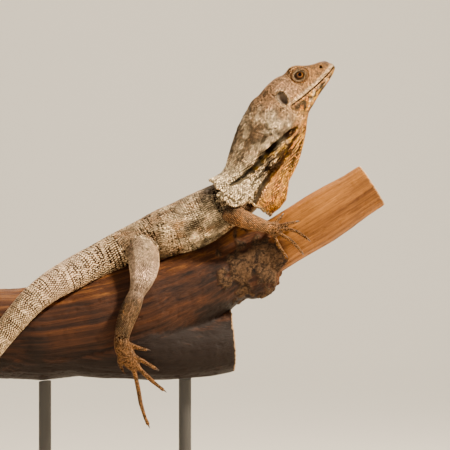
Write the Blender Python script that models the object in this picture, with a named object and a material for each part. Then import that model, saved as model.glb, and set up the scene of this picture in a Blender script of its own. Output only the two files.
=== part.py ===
"""A frilled lizard, life size, lying along a cut branch with its head raised and its frill folded.

The branch is held by a plain display stand. Sizes are in millimetres and are turned to metres where a
mesh is made. X runs the way the lizard faces, Z is up, and its right side faces -Y. The origin is the
centre of the stand's underside.
"""

import math

import bmesh
import bpy
import numpy as np
from mathutils import Vector
from mathutils.bvhtree import BVHTree

MM = 0.001
GAP = 0.3  # kept between neighbouring pieces
BODY_SIDES = 32
TAIL_SIDES = 16
LIMB_SIDES = 10
DIGIT_SIDES = 6

# The trunk, as x, y, z, half width and half height from the hips to the chest.
TORSO_LINE = (
    (-23.0, 0, 321.2, 13.4, 15.0),
    (-3.8, 0, 328.7, 15.5, 17.2),
    (11.6, 0, 334.7, 18.2, 19.6),
    (26.8, 0, 339.2, 20.0, 21.4),
    (41.3, 0, 346.3, 20.0, 21.4),
    (56.0, 0, 354.8, 18.6, 19.6),
    (68.5, 0, 362.4, 17.2, 17.6),
    (78.0, 0, 368.6, 16.0, 16.0),
    (84.5, 0, 375.0, 15.0, 15.0),
)
TORSO_RINGS = 17
NECK_RINGS = 8
NECK_PULL = 26  # how far each end of the neck keeps the direction that it starts in
NECK_CREST = 6.6  # how much further the nape stands out half way along the neck

# The tail, as x, y, z, half width and half height: over the top of the branch, then down its near side.
TAIL_START = (
    (-23.0, 0, 321.2, 13.4, 15.0),
    (-40.2, -4.5, 312.6, 13.2, 13.9),
    (-60.6, -22.5, 302.4, 12.4, 12.6),
    (-78.0, -34.0, 292.2, 11.3, 11.3),
    (-91.6, -41.4, 281.0, 10.4, 10.4),
    (-102.6, -46.2, 268.6, 9.7, 9.7),
    (-113.1, -48.0, 255.6, 9.0, 9.0),
)
TAIL_FREE_LENGTH = 325
TAIL_FREE_STEPS = 11
TAIL_DROOP = (51, 60, 63, 60, 50, 38, 26, 14)  # degrees below level along the free length
TAIL_SWING = (4, -4, -12, -22)  # degrees towards the near side along the free length
TAIL_TIP_RADIUS = 0.8
TAIL_RINGS = 53
TAIL_CUTS = (0, 12, 25, 38, 52)  # rings where one length of tail ends and the next begins

# The branch and the stub of its fork, as x, y, z and radius.
BRANCH_LINE = (
    (-138, 0, 254.0, 37.2),
    (-80, 0, 255.2, 38.0),
    (-40, 0, 261.6, 39.4),
    (0, 0, 273.4, 37.6),
    (40, 0, 290.6, 30.2),
    (80, 0, 313.0, 23.8),
    (120, 0, 336.4, 21.4),
    (160, 0, 361.4, 20.6),
    (178, 0, 373.0, 20.2),
)
FORK_LINE = (
    (-84, 0, 251, 26.0),
    (-40, -7, 246, 28.5),
    (0, -8, 244.5, 28.0),
    (36, -4, 243, 24.6),
    (66, 0, 244.5, 22.5),
)
BRANCH_SIDES = 20
BRANCH_RINGS = 22
FORK_RINGS = 10
KNOT_CENTRE = (82, -4, 302)
KNOT_RADII = (24, 19, 22)
BARK_WAVE = 0.7  # height of the slow ripples along the wood

# The display stand.
BASE_SIZE = (250, 160, 12)
BASE_CORNER = 22
BASE_EDGE = 1.5
ROD_RADIUS = 5
ROD_PLACES = (-84, 28)
ROD_SIDES = 24

# The head's own frame: u runs from the nape to the snout, w up out of the crown, y sideways.
HEAD_BASE = np.array((97.6, 0, 434.6))
HEAD_TILT = math.radians(33.9)
HEAD_U = np.array((math.cos(HEAD_TILT), 0, math.sin(HEAD_TILT)))
HEAD_W = np.array((-math.sin(HEAD_TILT), 0, math.cos(HEAD_TILT)))
HEAD_BACK = -4.0
HEAD_STATIONS = 26

# Lines along the head, as u, y and w.
CROWN = (
    (-4, 0, 14.2), (2, 0, 16.0), (9, 0, 17.2), (16, 0, 17.6), (22.5, 0, 16.4), (27, 0, 16.6),
    (33, 0, 16.2), (39, 0, 13.6), (47.5, 0, 10.4), (53, 0, 9.2), (56.6, 0, 7.6), (59.6, 0, 2.6),
)
BROW = (
    (-4, 11.5, 10.5), (3, 13.4, 13.4), (10, 14.2, 15.6), (17, 13.6, 16.4), (22.5, 12.6, 15.6),
    (29, 13.4, 18.4), (35, 11.8, 16.8), (40, 9.0, 13.2), (47.5, 6.6, 9.6), (53, 5.0, 8.0),
    (57, 3.2, 5.8), (59.4, 0.9, 2.4),
)
CHEEK = (
    (-4, 16.6, 0), (4, 18.2, 0.5), (12, 18.8, 1.0), (20, 17.8, 1.6), (26, 15.6, 2.2), (33, 13.4, 2.6),
    (40, 11.0, 2.6), (48, 8.4, 2.4), (54, 6.0, 2.0), (58, 3.2, 1.4), (59.8, 0.9, 1.2),
)
MOUTH = (
    (-4, 17.0, -7.0), (6, 18.6, -7.6), (14, 18.6, -7.6), (21, 17.2, -7.0), (28, 15.3, -6.5),
    (36, 12.8, -5.6), (44, 10.2, -4.3), (50, 8.0, -3.0), (55, 5.6, -1.6), (58.4, 2.9, -0.4), (60, 0.8, 0),
)
JAW = (
    (-4, 15.0, -13.5), (5, 16.8, -14.5), (14, 16.2, -14.8), (21, 14.4, -13.6), (28, 12.0, -12.4),
    (36, 9.6, -10.4), (44, 7.0, -8.4), (50, 5.2, -6.6), (55, 3.4, -4.6), (58, 1.8, -2.8), (59.2, 0.6, -1.8),
)
THROAT = (
    (-4, 0, -21.0), (5, 0, -22.0), (14, 0, -21.8), (21, 0, -19.8), (28, 0, -16.8), (36, 0, -12.8),
    (44, 0, -9.6), (50, 0, -7.2), (55, 0, -5.0), (58, 0, -3.2), (59.2, 0, -2.4),
)
HEAD_LAST = 59.0
LIP_HALF_HEIGHT = 1.3
LIP_GROOVE_DEPTH = 1.0
MOUTH_CORNER = 13.0

# Eyes, ears and nostrils, as u, y and w on the right side.
EYE_CENTRE = (32.0, 8.6, 9.0)
EYE_RADIUS = 6.2
EYE_SIDES = 16
ORBIT_CENTRE = (31.5, 13.0, 9.0)
ORBIT_REACH = 9.5
ORBIT_SWELL = 2.4
LID_RADII = (5.4, 4.6)
LID_THICKNESS = (1.5, 1.15)
LID_CENTRE = (32.0, 13.6, 8.9)
LID_TURN = math.radians(-14)
LID_OPENING = ((12.6, 3.9, 3.1), (14.8, 4.2, 3.4), (18.5, 5.2, 4.4))  # y, then radii along and up
EAR_CENTRE = (10.6, 18.6, 1.2)
EAR_RADII = (3.6, 2.6, 5.6)
NOSTRIL_CENTRE = (50.0, 7.4, 5.2)
NOSTRIL_RADII = (1.4, 1.5, 1.1)

# The folded frill: where each ring round the neck meets the nape (x, z) and the throat (x, z), and its
# half width, from the root behind the jaw to past the free edge.
FRILL_RINGS = (
    ((83.0, 440.4), (128.6, 430.2), 20.2),
    ((78.4, 433.8), (127.2, 424.4), 22.2),
    ((73.6, 425.8), (124.2, 413.8), 23.6),
    ((69.4, 416.2), (122.0, 404.2), 24.4),
    ((65.4, 405.0), (119.4, 394.8), 25.0),
    ((62.6, 395.4), (116.6, 386.8), 25.4),
    ((60.4, 387.0), (111.6, 378.6), 26.0),
    ((56.4, 382.0), (110.0, 369.8), 27.4),
    ((52.2, 379.6), (108.6, 361.6), 29.6),
    ((48.6, 377.8), (103.0, 354.2), 32.0),
    ((45.6, 376.2), (95.2, 348.6), 34.4),
    ((41.0, 373.0), (86.0, 343.4), 35.6),
)
FRILL_ROWS = 12
FRILL_THICKNESS = 1.1
FRILL_HUG = 0.22  # share of its length over which the frill lifts off the head and neck
# Degrees round from the nape of four lines down the frill, at shares of its length: the edge at the nape,
# the fold under the upper panel, the fold before the throat, and the middle of the throat.
FRILL_LINES = (0, 0.4, 0.7, 1)
FRILL_TURNS = (
    (0.00, (8, 146, 164, 180)),
    (0.20, (8, 130, 156, 180)),
    (0.34, (8, 105, 132, 180)),
    (0.50, (8, 86, 112, 180)),
    (0.65, (8, 66, 102, 180)),
    (0.80, (8, 55, 98, 180)),
    (1.00, (8, 57, 108, 180)),
)
# Folds on each side, as the share of the way from the nape to the throat, the half width, and the depth
# at the root, at mid length and at the free edge.
FRILL_FOLDS = (
    (0.10, 0.04, 0.0, 0.7, 1.3),
    (0.20, 0.04, 0.0, 0.9, 1.6),
    (0.30, 0.04, 0.0, 0.8, 1.5),
    (0.40, 0.05, 0.4, 5.6, 4.6),
    (0.48, 0.03, 0.2, 1.3, 1.4),
    (0.55, 0.03, 0.2, 1.5, 1.6),
    (0.62, 0.03, 0.2, 1.3, 1.4),
    (0.70, 0.045, 0.5, 5.0, 6.0),
    (0.80, 0.045, 0.5, 2.6, 1.2),
    (0.91, 0.045, 0.5, 2.6, 0.8),
)
FRILL_DEEP_FOLD = 3.0
# How many of the rings each part of the free edge reaches: furthest in the lobe over the shoulder.
FRILL_EDGE = (
    (0, 9.2), (0.2, 9.4), (0.36, 10.2), (0.40, 10.2), (0.44, 10.9), (0.62, 11.0), (0.67, 10.6), (0.70, 9.7),
    (0.8, 9.7), (1, 9.8),
)
FRILL_EDGE_TOOTH = 0.012  # share of the frill's length by which alternate edge points stand out

# Limbs on the right side, as x, y, z, half width along the body and half thickness outwards.
THIGH_RIGHT = (
    (-7.0, -4.0, 328.0, 12.0, 11.0),
    (-4.6, -16.0, 317.6, 12.8, 11.0),
    (-4.0, -26.0, 308.4, 12.4, 10.0),
    (-5.4, -34.6, 297.4, 9.4, 8.2),
    (-9.2, -39.0, 287.4, 6.4, 6.6),
)
SHANK_RIGHT = (
    (-9.2, -39.0, 287.4, 6.4, 6.6),
    (-13.8, -43.0, 275.6, 7.9, 7.2),
    (-17.6, -45.0, 265.6, 7.2, 6.6),
    (-20.6, -44.6, 254.4, 6.1, 5.6),
)
FOOT_RIGHT = (
    (-20.6, -44.6, 254.4, 6.1, 5.4),
    (-20.8, -43.2, 247.0, 6.6, 4.6),
    (-17.4, -41.6, 239.4, 7.2, 3.8),
    (-12.0, -40.6, 231.4, 5.8, 3.2),
    (-9.6, -40.4, 228.2, 4.2, 2.6),
)
# Each toe or finger is a line from its root to the tip of its claw, with its thickness. Where the line
# would run inside the wood it is lifted onto it.
TOES_RIGHT = (
    (((-19.0, -42.0, 249.4), (-7.4, -41.0, 244.4), (1.6, -38.0, 242.6)), 2.2),
    (((-16.0, -41.4, 241.0), (-1.6, -40.0, 232.6), (8.4, -36.5, 226.4)), 2.2),
    (((-13.6, -41.0, 235.0), (2.0, -39.5, 219.4), (14.2, -35.0, 209.2)), 2.3),
    (((-12.6, -40.8, 233.0), (-8.2, -39.8, 213.4), (-5.2, -38.6, 197.0), (1.0, -35.6, 180.8)), 2.3),
    (((-20.6, -42.4, 247.0), (-23.0, -41.4, 233.0), (-18.4, -38.6, 224.0)), 1.9),
)
TOE_LIFT = 2.2
UPPER_ARM_RIGHT = (
    (80.0, -10.0, 363.0, 8.6, 8.4),
    (72.0, -21.0, 355.6, 7.6, 7.2),
    (63.6, -28.6, 348.8, 6.4, 6.0),
)
FOREARM_RIGHT = (
    (63.6, -28.6, 348.8, 6.4, 6.0),
    (73.0, -31.4, 346.2, 7.4, 6.2),
    (84.0, -30.0, 342.4, 6.2, 5.2),
    (93.0, -26.8, 339.6, 4.9, 4.2),
)
HAND_RIGHT = (
    (93.0, -26.8, 339.6, 4.9, 4.0),
    (98.4, -25.4, 338.0, 5.8, 3.4),
    (103.4, -25.2, 336.8, 4.8, 2.6),
)
FINGERS_RIGHT = (
    (((95.6, -26.0, 340.0), (102.4, -22.8, 345.4), (106.8, -15.0, 350.2)), 1.9),
    (((98.4, -25.6, 338.8), (110.6, -24.8, 342.2), (120.0, -22.0, 344.2)), 1.9),
    (((99.0, -25.6, 337.6), (115.6, -25.0, 336.4), (127.8, -20.0, 327.8)), 1.9),
    (((98.8, -25.4, 336.6), (112.8, -23.6, 328.2), (122.4, -14.0, 317.2)), 1.9),
    (((96.6, -25.6, 337.0), (103.2, -24.0, 323.4), (109.8, -17.0, 314.8)), 1.9),
)
FINGER_LIFT = 1.7

# The left side is hidden from the front, so it holds the branch further forward.
THIGH_LEFT = (
    (-7.0, 4.0, 328.0, 12.0, 11.0),
    (0.0, 16.0, 319.5, 12.2, 11.0),
    (7.0, 26.0, 312.5, 10.8, 9.8),
    (15.0, 34.4, 306.5, 8.2, 7.8),
    (20.0, 38.0, 302.0, 6.8, 6.8),
)
SHANK_LEFT = (
    (20.0, 38.0, 302.0, 6.8, 6.8),
    (12.0, 42.0, 290.0, 8.0, 7.2),
    (4.0, 43.0, 279.0, 8.2, 7.0),
    (-1.6, 42.2, 268.6, 6.8, 5.6),
)
FOOT_LEFT = (
    (-1.6, 42.2, 268.6, 6.8, 5.6),
    (1.4, 40.6, 260.0, 7.4, 4.6),
    (8.0, 38.4, 252.6, 7.0, 3.6),
    (15.0, 36.0, 248.4, 5.0, 3.0),
)
TOES_LEFT = (
    (((1.6, 40.6, 262.0), (13.0, 36.0, 265.0), (23.4, 30.0, 266.0)), 2.3),
    (((6.6, 39.2, 256.0), (19.0, 34.0, 256.6), (31.0, 27.0, 255.6)), 2.3),
    (((11.0, 37.6, 251.4), (25.0, 31.0, 248.6), (39.0, 26.0, 245.0)), 2.3),
    (((10.6, 37.2, 250.4), (23.0, 31.4, 238.0), (36.0, 26.6, 231.6), (51.0, 22.0, 231.0)), 2.3),
    (((1.6, 40.4, 260.0), (1.8, 36.0, 246.0), (8.6, 30.0, 234.0)), 1.9),
)
UPPER_ARM_LEFT = (
    (80.0, 10.0, 363.0, 8.6, 8.4),
    (73.0, 20.6, 357.0, 7.4, 7.2),
    (65.6, 28.6, 350.6, 5.9, 5.8),
)
FOREARM_LEFT = (
    (65.6, 28.6, 350.6, 5.9, 5.8),
    (73.0, 31.4, 344.6, 6.6, 6.0),
    (80.0, 30.8, 336.6, 5.8, 5.2),
    (86.0, 28.8, 330.4, 5.2, 4.2),
)
HAND_LEFT = (
    (86.0, 28.8, 330.4, 5.2, 4.2),
    (90.0, 27.4, 326.8, 6.0, 3.4),
    (94.6, 26.6, 323.6, 5.2, 2.8),
)
FINGERS_LEFT = (
    (((87.0, 28.2, 329.0), (95.4, 25.6, 334.0), (103.0, 22.0, 337.0)), 1.9),
    (((89.4, 27.6, 327.0), (102.0, 25.6, 329.6), (113.0, 22.4, 330.4)), 1.9),
    (((90.0, 27.4, 325.6), (105.6, 24.6, 321.8), (118.4, 18.0, 320.4)), 1.9),
    (((89.6, 27.4, 325.0), (99.4, 23.0, 313.0), (109.0, 12.0, 306.4)), 1.9),
    (((87.6, 27.8, 326.6), (89.6, 24.6, 313.0), (94.4, 16.0, 302.6)), 1.9),
)
LIMB_RINGS = 7
DIGIT_RINGS = 6
CLAW_LENGTH = 3.8
CLAW_ROOT = 0.62  # claw thickness as a share of its toe's
CLAW_TIP = 0.3
CLAW_HOOK = 0.8  # how far the claw's tip bends towards what the toe lies on

# Finishes: colour, roughness, metallic.
FINISHES = {
    "scaly_skin": ("8C7862", 0.55, 0.0),
    "frill_skin": ("94795A", 0.55, 0.0),
    "eyeball": ("3A2A1C", 0.12, 0.0),
    "branch_wood": ("8A5530", 0.7, 0.0),
    "powder_coated_steel": ("3C3A37", 0.45, 0.0),
}


def linear(hex_colour):
    """Linear light from an sRGB hex colour."""
    shares = [int(hex_colour[i : i + 2], 16) / 255 for i in (0, 2, 4)]
    return [s / 12.92 if s <= 0.04045 else ((s + 0.055) / 1.055) ** 2.4 for s in shares]


def finish(name):
    """The named finish as a Principled material, made once."""
    if name in bpy.data.materials:
        return bpy.data.materials[name]
    colour, roughness, metallic = FINISHES[name]
    material = bpy.data.materials.new(name)
    material.use_nodes = True
    shader = material.node_tree.nodes["Principled BSDF"]
    shader.inputs["Base Color"].default_value = (*linear(colour), 1)
    shader.inputs["Roughness"].default_value = roughness
    shader.inputs["Metallic"].default_value = metallic
    return material


def unit(vectors):
    return vectors / np.linalg.norm(vectors, axis=-1, keepdims=True)


def smooth_rows(rows, count):
    """Rows read at even steps along a smooth curve through the given rows."""
    rows = np.array(rows, float)
    steps = np.linalg.norm(np.diff(rows[:, :3], axis=0), axis=1)
    at = np.concatenate([[0], np.cumsum(steps)])
    return read_curve(at, rows, np.linspace(0, at[-1], count))


def read_curve(at, rows, wanted):
    """Rows at the wanted places of a smooth curve that passes through rows at the places in at."""
    slopes = np.gradient(rows, at, axis=0)
    i = np.clip(np.searchsorted(at, wanted, side="right") - 1, 0, len(at) - 2)
    span = (at[i + 1] - at[i])[:, None]
    t = (wanted - at[i])[:, None] / span
    return (
        (2 * t**3 - 3 * t**2 + 1) * rows[i]
        + (t**3 - 2 * t**2 + t) * span * slopes[i]
        + (3 * t**2 - 2 * t**3) * rows[i + 1]
        + (t**3 - t**2) * span * slopes[i + 1]
    )


def directions(points, hint):
    """Unit vectors along the line of points, sideways, and the way the hint points."""
    along = unit(np.gradient(points, axis=0))
    up = unit(hint - (along @ hint)[:, None] * along)
    return along, np.cross(along, up), up


def tube_rings(rows, sides, hint=(0, 0, 1), grow=0.0):
    """Elliptical rings round a line of rows: x, y, z, half width, and half height if it differs."""
    rows = np.array(rows, float)
    points, width, height = rows[:, :3], rows[:, 3], rows[:, -1]
    _, side, up = directions(points, np.array(hint, float))
    angle = np.linspace(0, 2 * math.pi, sides, endpoint=False)
    across = np.sin(angle)[None, :, None] * side[:, None, :] * (width + grow)[:, None, None]
    above = np.cos(angle)[None, :, None] * up[:, None, :] * (height + grow)[:, None, None]
    return points[:, None, :] + across + above


def mesh_object(name, points, faces, finish_name):
    """An object from points in millimetres and faces."""
    mesh = bpy.data.meshes.new(name)
    mesh.from_pydata((np.array(points) * MM).tolist(), [], faces)
    thing = bpy.data.objects.new(name, mesh)
    bpy.context.scene.collection.objects.link(thing)
    face_outwards(mesh)
    dress(thing, finish_name)
    return thing


def face_outwards(mesh):
    work = bmesh.new()
    work.from_mesh(mesh)
    bmesh.ops.recalc_face_normals(work, faces=work.faces)
    if work.calc_volume(signed=True) < 0:
        bmesh.ops.reverse_faces(work, faces=work.faces)
    work.to_mesh(mesh)
    work.free()


def dress(thing, finish_name):
    thing.data.materials.clear()
    thing.data.materials.append(finish(finish_name))
    thing.data.shade_smooth()
    thing.data.set_sharp_from_angle(angle=math.radians(50))


def loft(name, rings, finish_name):
    """A closed body through rings of equal counts, with a fan of faces over each end."""
    rings = np.array(rings)
    count, sides = rings.shape[:2]
    points = rings.reshape(-1, 3)
    faces = []
    for k in range(count - 1):
        for i in range(sides):
            j = (i + 1) % sides
            a, b = k * sides, (k + 1) * sides
            faces.append((a + i, a + j, b + j, b + i))
    first, last = len(points), len(points) + 1
    points = np.vstack([points, rings[0].mean(axis=0), rings[-1].mean(axis=0)])
    end = (count - 1) * sides
    for i in range(sides):
        j = (i + 1) % sides
        faces.append((first, j, i))
        faces.append((last, end + i, end + j))
    return mesh_object(name, points, faces, finish_name)


def ellipsoid(name, centre, radii, finish_name, sides=16, axes=np.eye(3)):
    """A ball with the given radii along the given axes."""
    levels = sides // 2
    rings = []
    for k in range(1, levels):
        polar = math.pi * k / levels
        turn = np.linspace(0, 2 * math.pi, sides, endpoint=False)
        local = np.stack([
            np.sin(polar) * np.cos(turn), np.sin(polar) * np.sin(turn), np.full(sides, np.cos(polar)),
        ], axis=1)
        rings.append(centre + (local * radii) @ axes)
    ball = loft(name, rings, finish_name)
    poles = np.array([[0, 0, 1], [0, 0, -1]]) * radii @ axes + centre
    for vertex, place in zip(list(ball.data.vertices)[-2:], poles):
        vertex.co = place * MM
    return ball


def bake_modifiers(thing):
    graph = bpy.context.evaluated_depsgraph_get()
    made = bpy.data.meshes.new_from_object(thing.evaluated_get(graph))
    thing.modifiers.clear()
    old = thing.data
    thing.data = made
    bpy.data.meshes.remove(old)


def keep_largest(thing):
    """Drops every closed surface of the mesh but the largest."""
    work = bmesh.new()
    work.from_mesh(thing.data)
    seen, groups = set(), []
    for start in work.verts:
        if start in seen:
            continue
        group, front = {start}, [start]
        while front:
            for edge in front.pop().link_edges:
                for vertex in edge.verts:
                    if vertex not in group:
                        group.add(vertex)
                        front.append(vertex)
        seen |= group
        groups.append(group)

    def reach(group):
        places = np.array([v.co for v in group])
        return float(np.prod(np.ptp(places, axis=0) + MM))

    groups.sort(key=reach)
    for group in groups[:-1]:
        bmesh.ops.delete(work, geom=list(group), context="VERTS")
    work.to_mesh(thing.data)
    work.free()


def is_closed(mesh):
    work = bmesh.new()
    work.from_mesh(mesh)
    closed = all(len(edge.link_faces) == 2 for edge in work.edges)
    work.free()
    return closed


def combine(thing, others, operation, finish_name, keep_others=False):
    """Joins the other bodies to the thing, or cuts them from it."""
    before = thing.data.copy()
    for solver in ("EXACT", "MANIFOLD"):
        thing.data = before.copy()
        group = bpy.data.collections.new(thing.name + "_others")
        for other in others:
            group.objects.link(other)
        bpy.context.scene.collection.children.link(group)
        modifier = thing.modifiers.new(operation.lower(), "BOOLEAN")
        modifier.operation = operation
        modifier.operand_type = "COLLECTION"
        modifier.collection = group
        modifier.solver = solver
        bpy.context.view_layer.update()
        bake_modifiers(thing)
        bpy.data.collections.remove(group)
        if is_closed(thing.data):
            break
    bpy.data.meshes.remove(before)
    if not keep_others:
        for other in others:
            bpy.data.objects.remove(other)
    keep_largest(thing)
    dress(thing, finish_name)
    return thing


# The branch


def branch_rows(line, count):
    rows = smooth_rows(line, count)
    ripple = np.sin(rows[:, 0] / 17.0) + 0.6 * np.sin(rows[:, 0] / 7.3 + 1.1)
    rows[:, 3] += BARK_WAVE * ripple
    return rows


def branch_bodies(name, grow=0.0):
    """The branch, the stub of its fork and the knot between them, as overlapping bodies."""
    main = loft(name, tube_rings(branch_rows(BRANCH_LINE, BRANCH_RINGS), BRANCH_SIDES, grow=grow), "branch_wood")
    fork = loft(name + "_fork", tube_rings(branch_rows(FORK_LINE, FORK_RINGS), BRANCH_SIDES, grow=grow), "branch_wood")
    radii = np.array(KNOT_RADII) + grow
    knot = ellipsoid(name + "_knot", np.array(KNOT_CENTRE), radii, "branch_wood", sides=14)
    return [main, fork, knot]


def wood_reach(x, z, side):
    """How far the branch's surface stands out at x, z on the near side (-1) or the far side (1)."""
    reach = 0.0
    for line in (BRANCH_LINE, FORK_LINE):
        rows = smooth_rows(line, 80)
        away = np.hypot(rows[:, 0] - x, rows[:, 2] - z)
        k = int(np.argmin(away))
        if away[k] < rows[k, 3]:
            reach = max(reach, side * rows[k, 1] + math.sqrt(rows[k, 3] ** 2 - away[k] ** 2))
    return reach


def make_branch():
    main, fork, knot = branch_bodies("perch_branch")
    return combine(main, [fork, knot], "UNION", "branch_wood")


def make_stand(branch_cutters):
    width, depth, height = BASE_SIZE
    work = bmesh.new()
    corner = []
    for sx, sy, start in ((1, 1, 0), (-1, 1, 90), (-1, -1, 180), (1, -1, 270)):
        for step in range(7):
            turn = math.radians(start + 15 * step)
            corner.append((
                sx * (width / 2 - BASE_CORNER) + BASE_CORNER * math.cos(turn),
                sy * (depth / 2 - BASE_CORNER) + BASE_CORNER * math.sin(turn),
            ))
    bottom = [work.verts.new((x * MM, y * MM, 0)) for x, y in corner]
    top = [work.verts.new((x * MM, y * MM, (height - BASE_EDGE) * MM)) for x, y in corner]
    shrink = 1 - BASE_EDGE / (width / 2)
    lid = [work.verts.new((x * shrink * MM, y * shrink * MM, height * MM)) for x, y in corner]
    count = len(corner)
    for low, high in ((bottom, top), (top, lid)):
        for i in range(count):
            j = (i + 1) % count
            work.faces.new((low[i], low[j], high[j], high[i]))
    work.faces.new(bottom[::-1])
    work.faces.new(lid)
    mesh = bpy.data.meshes.new("stand_base")
    work.to_mesh(mesh)
    work.free()
    base = bpy.data.objects.new("stand_base", mesh)
    bpy.context.scene.collection.objects.link(base)
    dress(base, "powder_coated_steel")
    for number, x in enumerate(ROD_PLACES, start=1):
        ends = [(x, 0, height + GAP, ROD_RADIUS), (x, 0, 250, ROD_RADIUS)]
        rod = loft(f"stand_rod_{number}", tube_rings(ends, ROD_SIDES, hint=(1, 0, 0)), "powder_coated_steel")
        combine(rod, branch_cutters, "DIFFERENCE", "powder_coated_steel", keep_others=True)


# The trunk, neck and tail


def body_rings(sides, grow=0.0):
    """Rings from the tip of the tail to its root, and from there to the chest."""
    rows = np.vstack([tail_rows()[::-1], smooth_rows(TORSO_LINE, TORSO_RINGS)[1:]])
    rings = tube_rings(rows, sides, grow=grow)
    return np.array(rings[:TAIL_RINGS]), np.array(rings[TAIL_RINGS - 1 :])


def torso_rings(grow=0.0):
    return body_rings(BODY_SIDES, grow)[1]


def head_line(line, u):
    rows = np.array(line, float)
    return read_curve(rows[:, 0], rows[:, 1:], u)


def head_place(u, y, w):
    """A point of the head's own frame, in the part's frame."""
    return HEAD_BASE + np.multiply.outer(u, HEAD_U) + np.multiply.outer(w, HEAD_W) + np.multiply.outer(y, (0, 1, 0))


def head_half_ring(u, grow):
    """y and w down the right half of the head's ring at each u, from crown to throat."""
    crown, brow, cheek = (head_line(line, u) for line in (CROWN, BROW, CHEEK))
    mouth, jaw, throat = (head_line(line, u) for line in (MOUTH, JAW, THROAT))
    near_corner = np.clip((u - MOUTH_CORNER) / 3.0, 0, 1)
    near_tip = np.clip((HEAD_LAST + 0.8 - u) / 3.0, 0.25, 1)
    half = (LIP_HALF_HEIGHT * near_tip)[:, None] * np.array((0, 1.0))
    inward = (LIP_GROOVE_DEPTH * near_corner * near_tip)[:, None] * np.array((1.0, 0))
    upper_lip, lower_lip = mouth + half, mouth - half - 0.3 * inward

    def between(a, b, share, bulge):
        middle = a + (b - a) * share
        outward = np.stack([-(b - a)[:, 1], (b - a)[:, 0]], axis=1)
        return middle + bulge * outward

    points = [
        crown,
        between(crown, brow, 0.36, 0.07),
        between(crown, brow, 0.74, 0.06),
        brow,
        between(brow, cheek, 0.3, 0.02),
        between(brow, cheek, 0.65, 0.05),
        cheek,
        between(cheek, upper_lip, 0.5, 0.05),
        upper_lip,
        mouth - inward,
        lower_lip,
        between(lower_lip, jaw, 0.55, 0.12),
        jaw,
        between(jaw, throat, 0.22, 0.08),
        between(jaw, throat, 0.46, 0.10),
        between(jaw, throat, 0.74, 0.08),
        throat,
    ]
    half_ring = np.stack(points, axis=1)
    if grow:
        centre = np.array((0, -1.0))
        half_ring = half_ring + grow * unit(half_ring - centre + 1e-9)
    return half_ring


def head_rings(u, grow=0.0):
    """Rings of the head at each u, from the crown down the right side and up the left."""
    half = head_half_ring(u, grow)
    y, w = half[:, :, 0], half[:, :, 1]
    swelling = orbit_swelling(np.repeat(u[:, None], y.shape[1], axis=1), y, w)
    right = head_place(np.repeat(u[:, None], y.shape[1], axis=1), -(y + swelling), w)
    left = head_place(np.repeat(u[:, None], y.shape[1], axis=1), y + swelling, w)
    return np.concatenate([right, left[:, -2:0:-1]], axis=1)


def orbit_swelling(u, y, w):
    """How far the skin round the eye stands out."""
    away = np.sqrt((u - ORBIT_CENTRE[0]) ** 2 + (w - ORBIT_CENTRE[2]) ** 2)
    near = np.clip(1 - away / ORBIT_REACH, 0, 1)
    return ORBIT_SWELL * near**2 * (3 - 2 * near) * (y > 4)


def head_stations():
    return np.linspace(HEAD_BACK, HEAD_LAST, HEAD_STATIONS)


def head_body(name, grow=0.0):
    """The head as rings from the nape to the mouth, closed by a rounded snout."""
    rings = head_rings(head_stations(), grow)
    last = rings[-1]
    centre = last.mean(axis=0)
    for forward, share in ((0.75, 0.82), (1.3, 0.45)):
        rings = np.concatenate([rings, [centre + (last - centre) * share + HEAD_U * forward]])
    return loft(name, rings, "scaly_skin")


def neck_rings(grow=0.0):
    """Rings that turn from the trunk's last ring into the head's first."""
    start, end = torso_rings(grow)[-1], head_rings(np.array([HEAD_BACK]), grow)[0]
    start_way = unit(np.array(TORSO_LINE[-1][:3]) - np.array(TORSO_LINE[-2][:3]))
    start, end = start + GAP * start_way, end - GAP * HEAD_U
    nape_share = np.maximum(0, np.cos(np.linspace(0, 2 * math.pi, BODY_SIDES, endpoint=False)))[:, None]
    rings = []
    for t in np.linspace(0, 1, NECK_RINGS):
        ring = (
            (2 * t**3 - 3 * t**2 + 1) * start + (t**3 - 2 * t**2 + t) * NECK_PULL * start_way
            + (3 * t**2 - 2 * t**3) * end + (t**3 - t**2) * NECK_PULL * HEAD_U
        )
        backwards = unit(ring[0] - ring.mean(axis=0))
        rings.append(ring + nape_share * 4 * t * (1 - t) * NECK_CREST * backwards)
    return rings


def tail_rows():
    """x, y, z and radius along the whole tail: over the branch, then hanging free."""
    rows = [list(row) for row in TAIL_START]
    step = TAIL_FREE_LENGTH / TAIL_FREE_STEPS
    place = np.array(TAIL_START[-1][:3], float)
    start_radius = TAIL_START[-1][3]
    for k in range(TAIL_FREE_STEPS):
        share = (k + 0.5) / TAIL_FREE_STEPS
        droop = math.radians(np.interp(share, np.linspace(0, 1, len(TAIL_DROOP)), TAIL_DROOP))
        swing = math.radians(np.interp(share, np.linspace(0, 1, len(TAIL_SWING)), TAIL_SWING))
        way = (-math.cos(droop) * math.cos(swing), -math.cos(droop) * math.sin(swing), -math.sin(droop))
        place = place + step * np.array(way)
        done = (k + 1) / TAIL_FREE_STEPS
        radius = start_radius + (TAIL_TIP_RADIUS - start_radius) * done**0.86
        rows.append([*place, radius, radius])
    return smooth_rows(rows, TAIL_RINGS)


def shifted_ring(rings, k, towards):
    """Ring k moved by the gap towards another ring's centre."""
    way = unit(rings[towards].mean(axis=0) - rings[k].mean(axis=0))
    return rings[k] + GAP * way


def make_tail(branch_cutters):
    rings = body_rings(TAIL_SIDES)[0][::-1]
    for number, (a, b) in enumerate(zip(TAIL_CUTS, TAIL_CUTS[1:]), start=1):
        piece = rings[a : b + 1].copy()
        piece[0] = shifted_ring(rings, a, a + 1)
        length = loft(f"tail_{number}", piece, "scaly_skin")
        if number < 3:
            combine(length, branch_cutters, "DIFFERENCE", "scaly_skin", keep_others=True)


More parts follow.
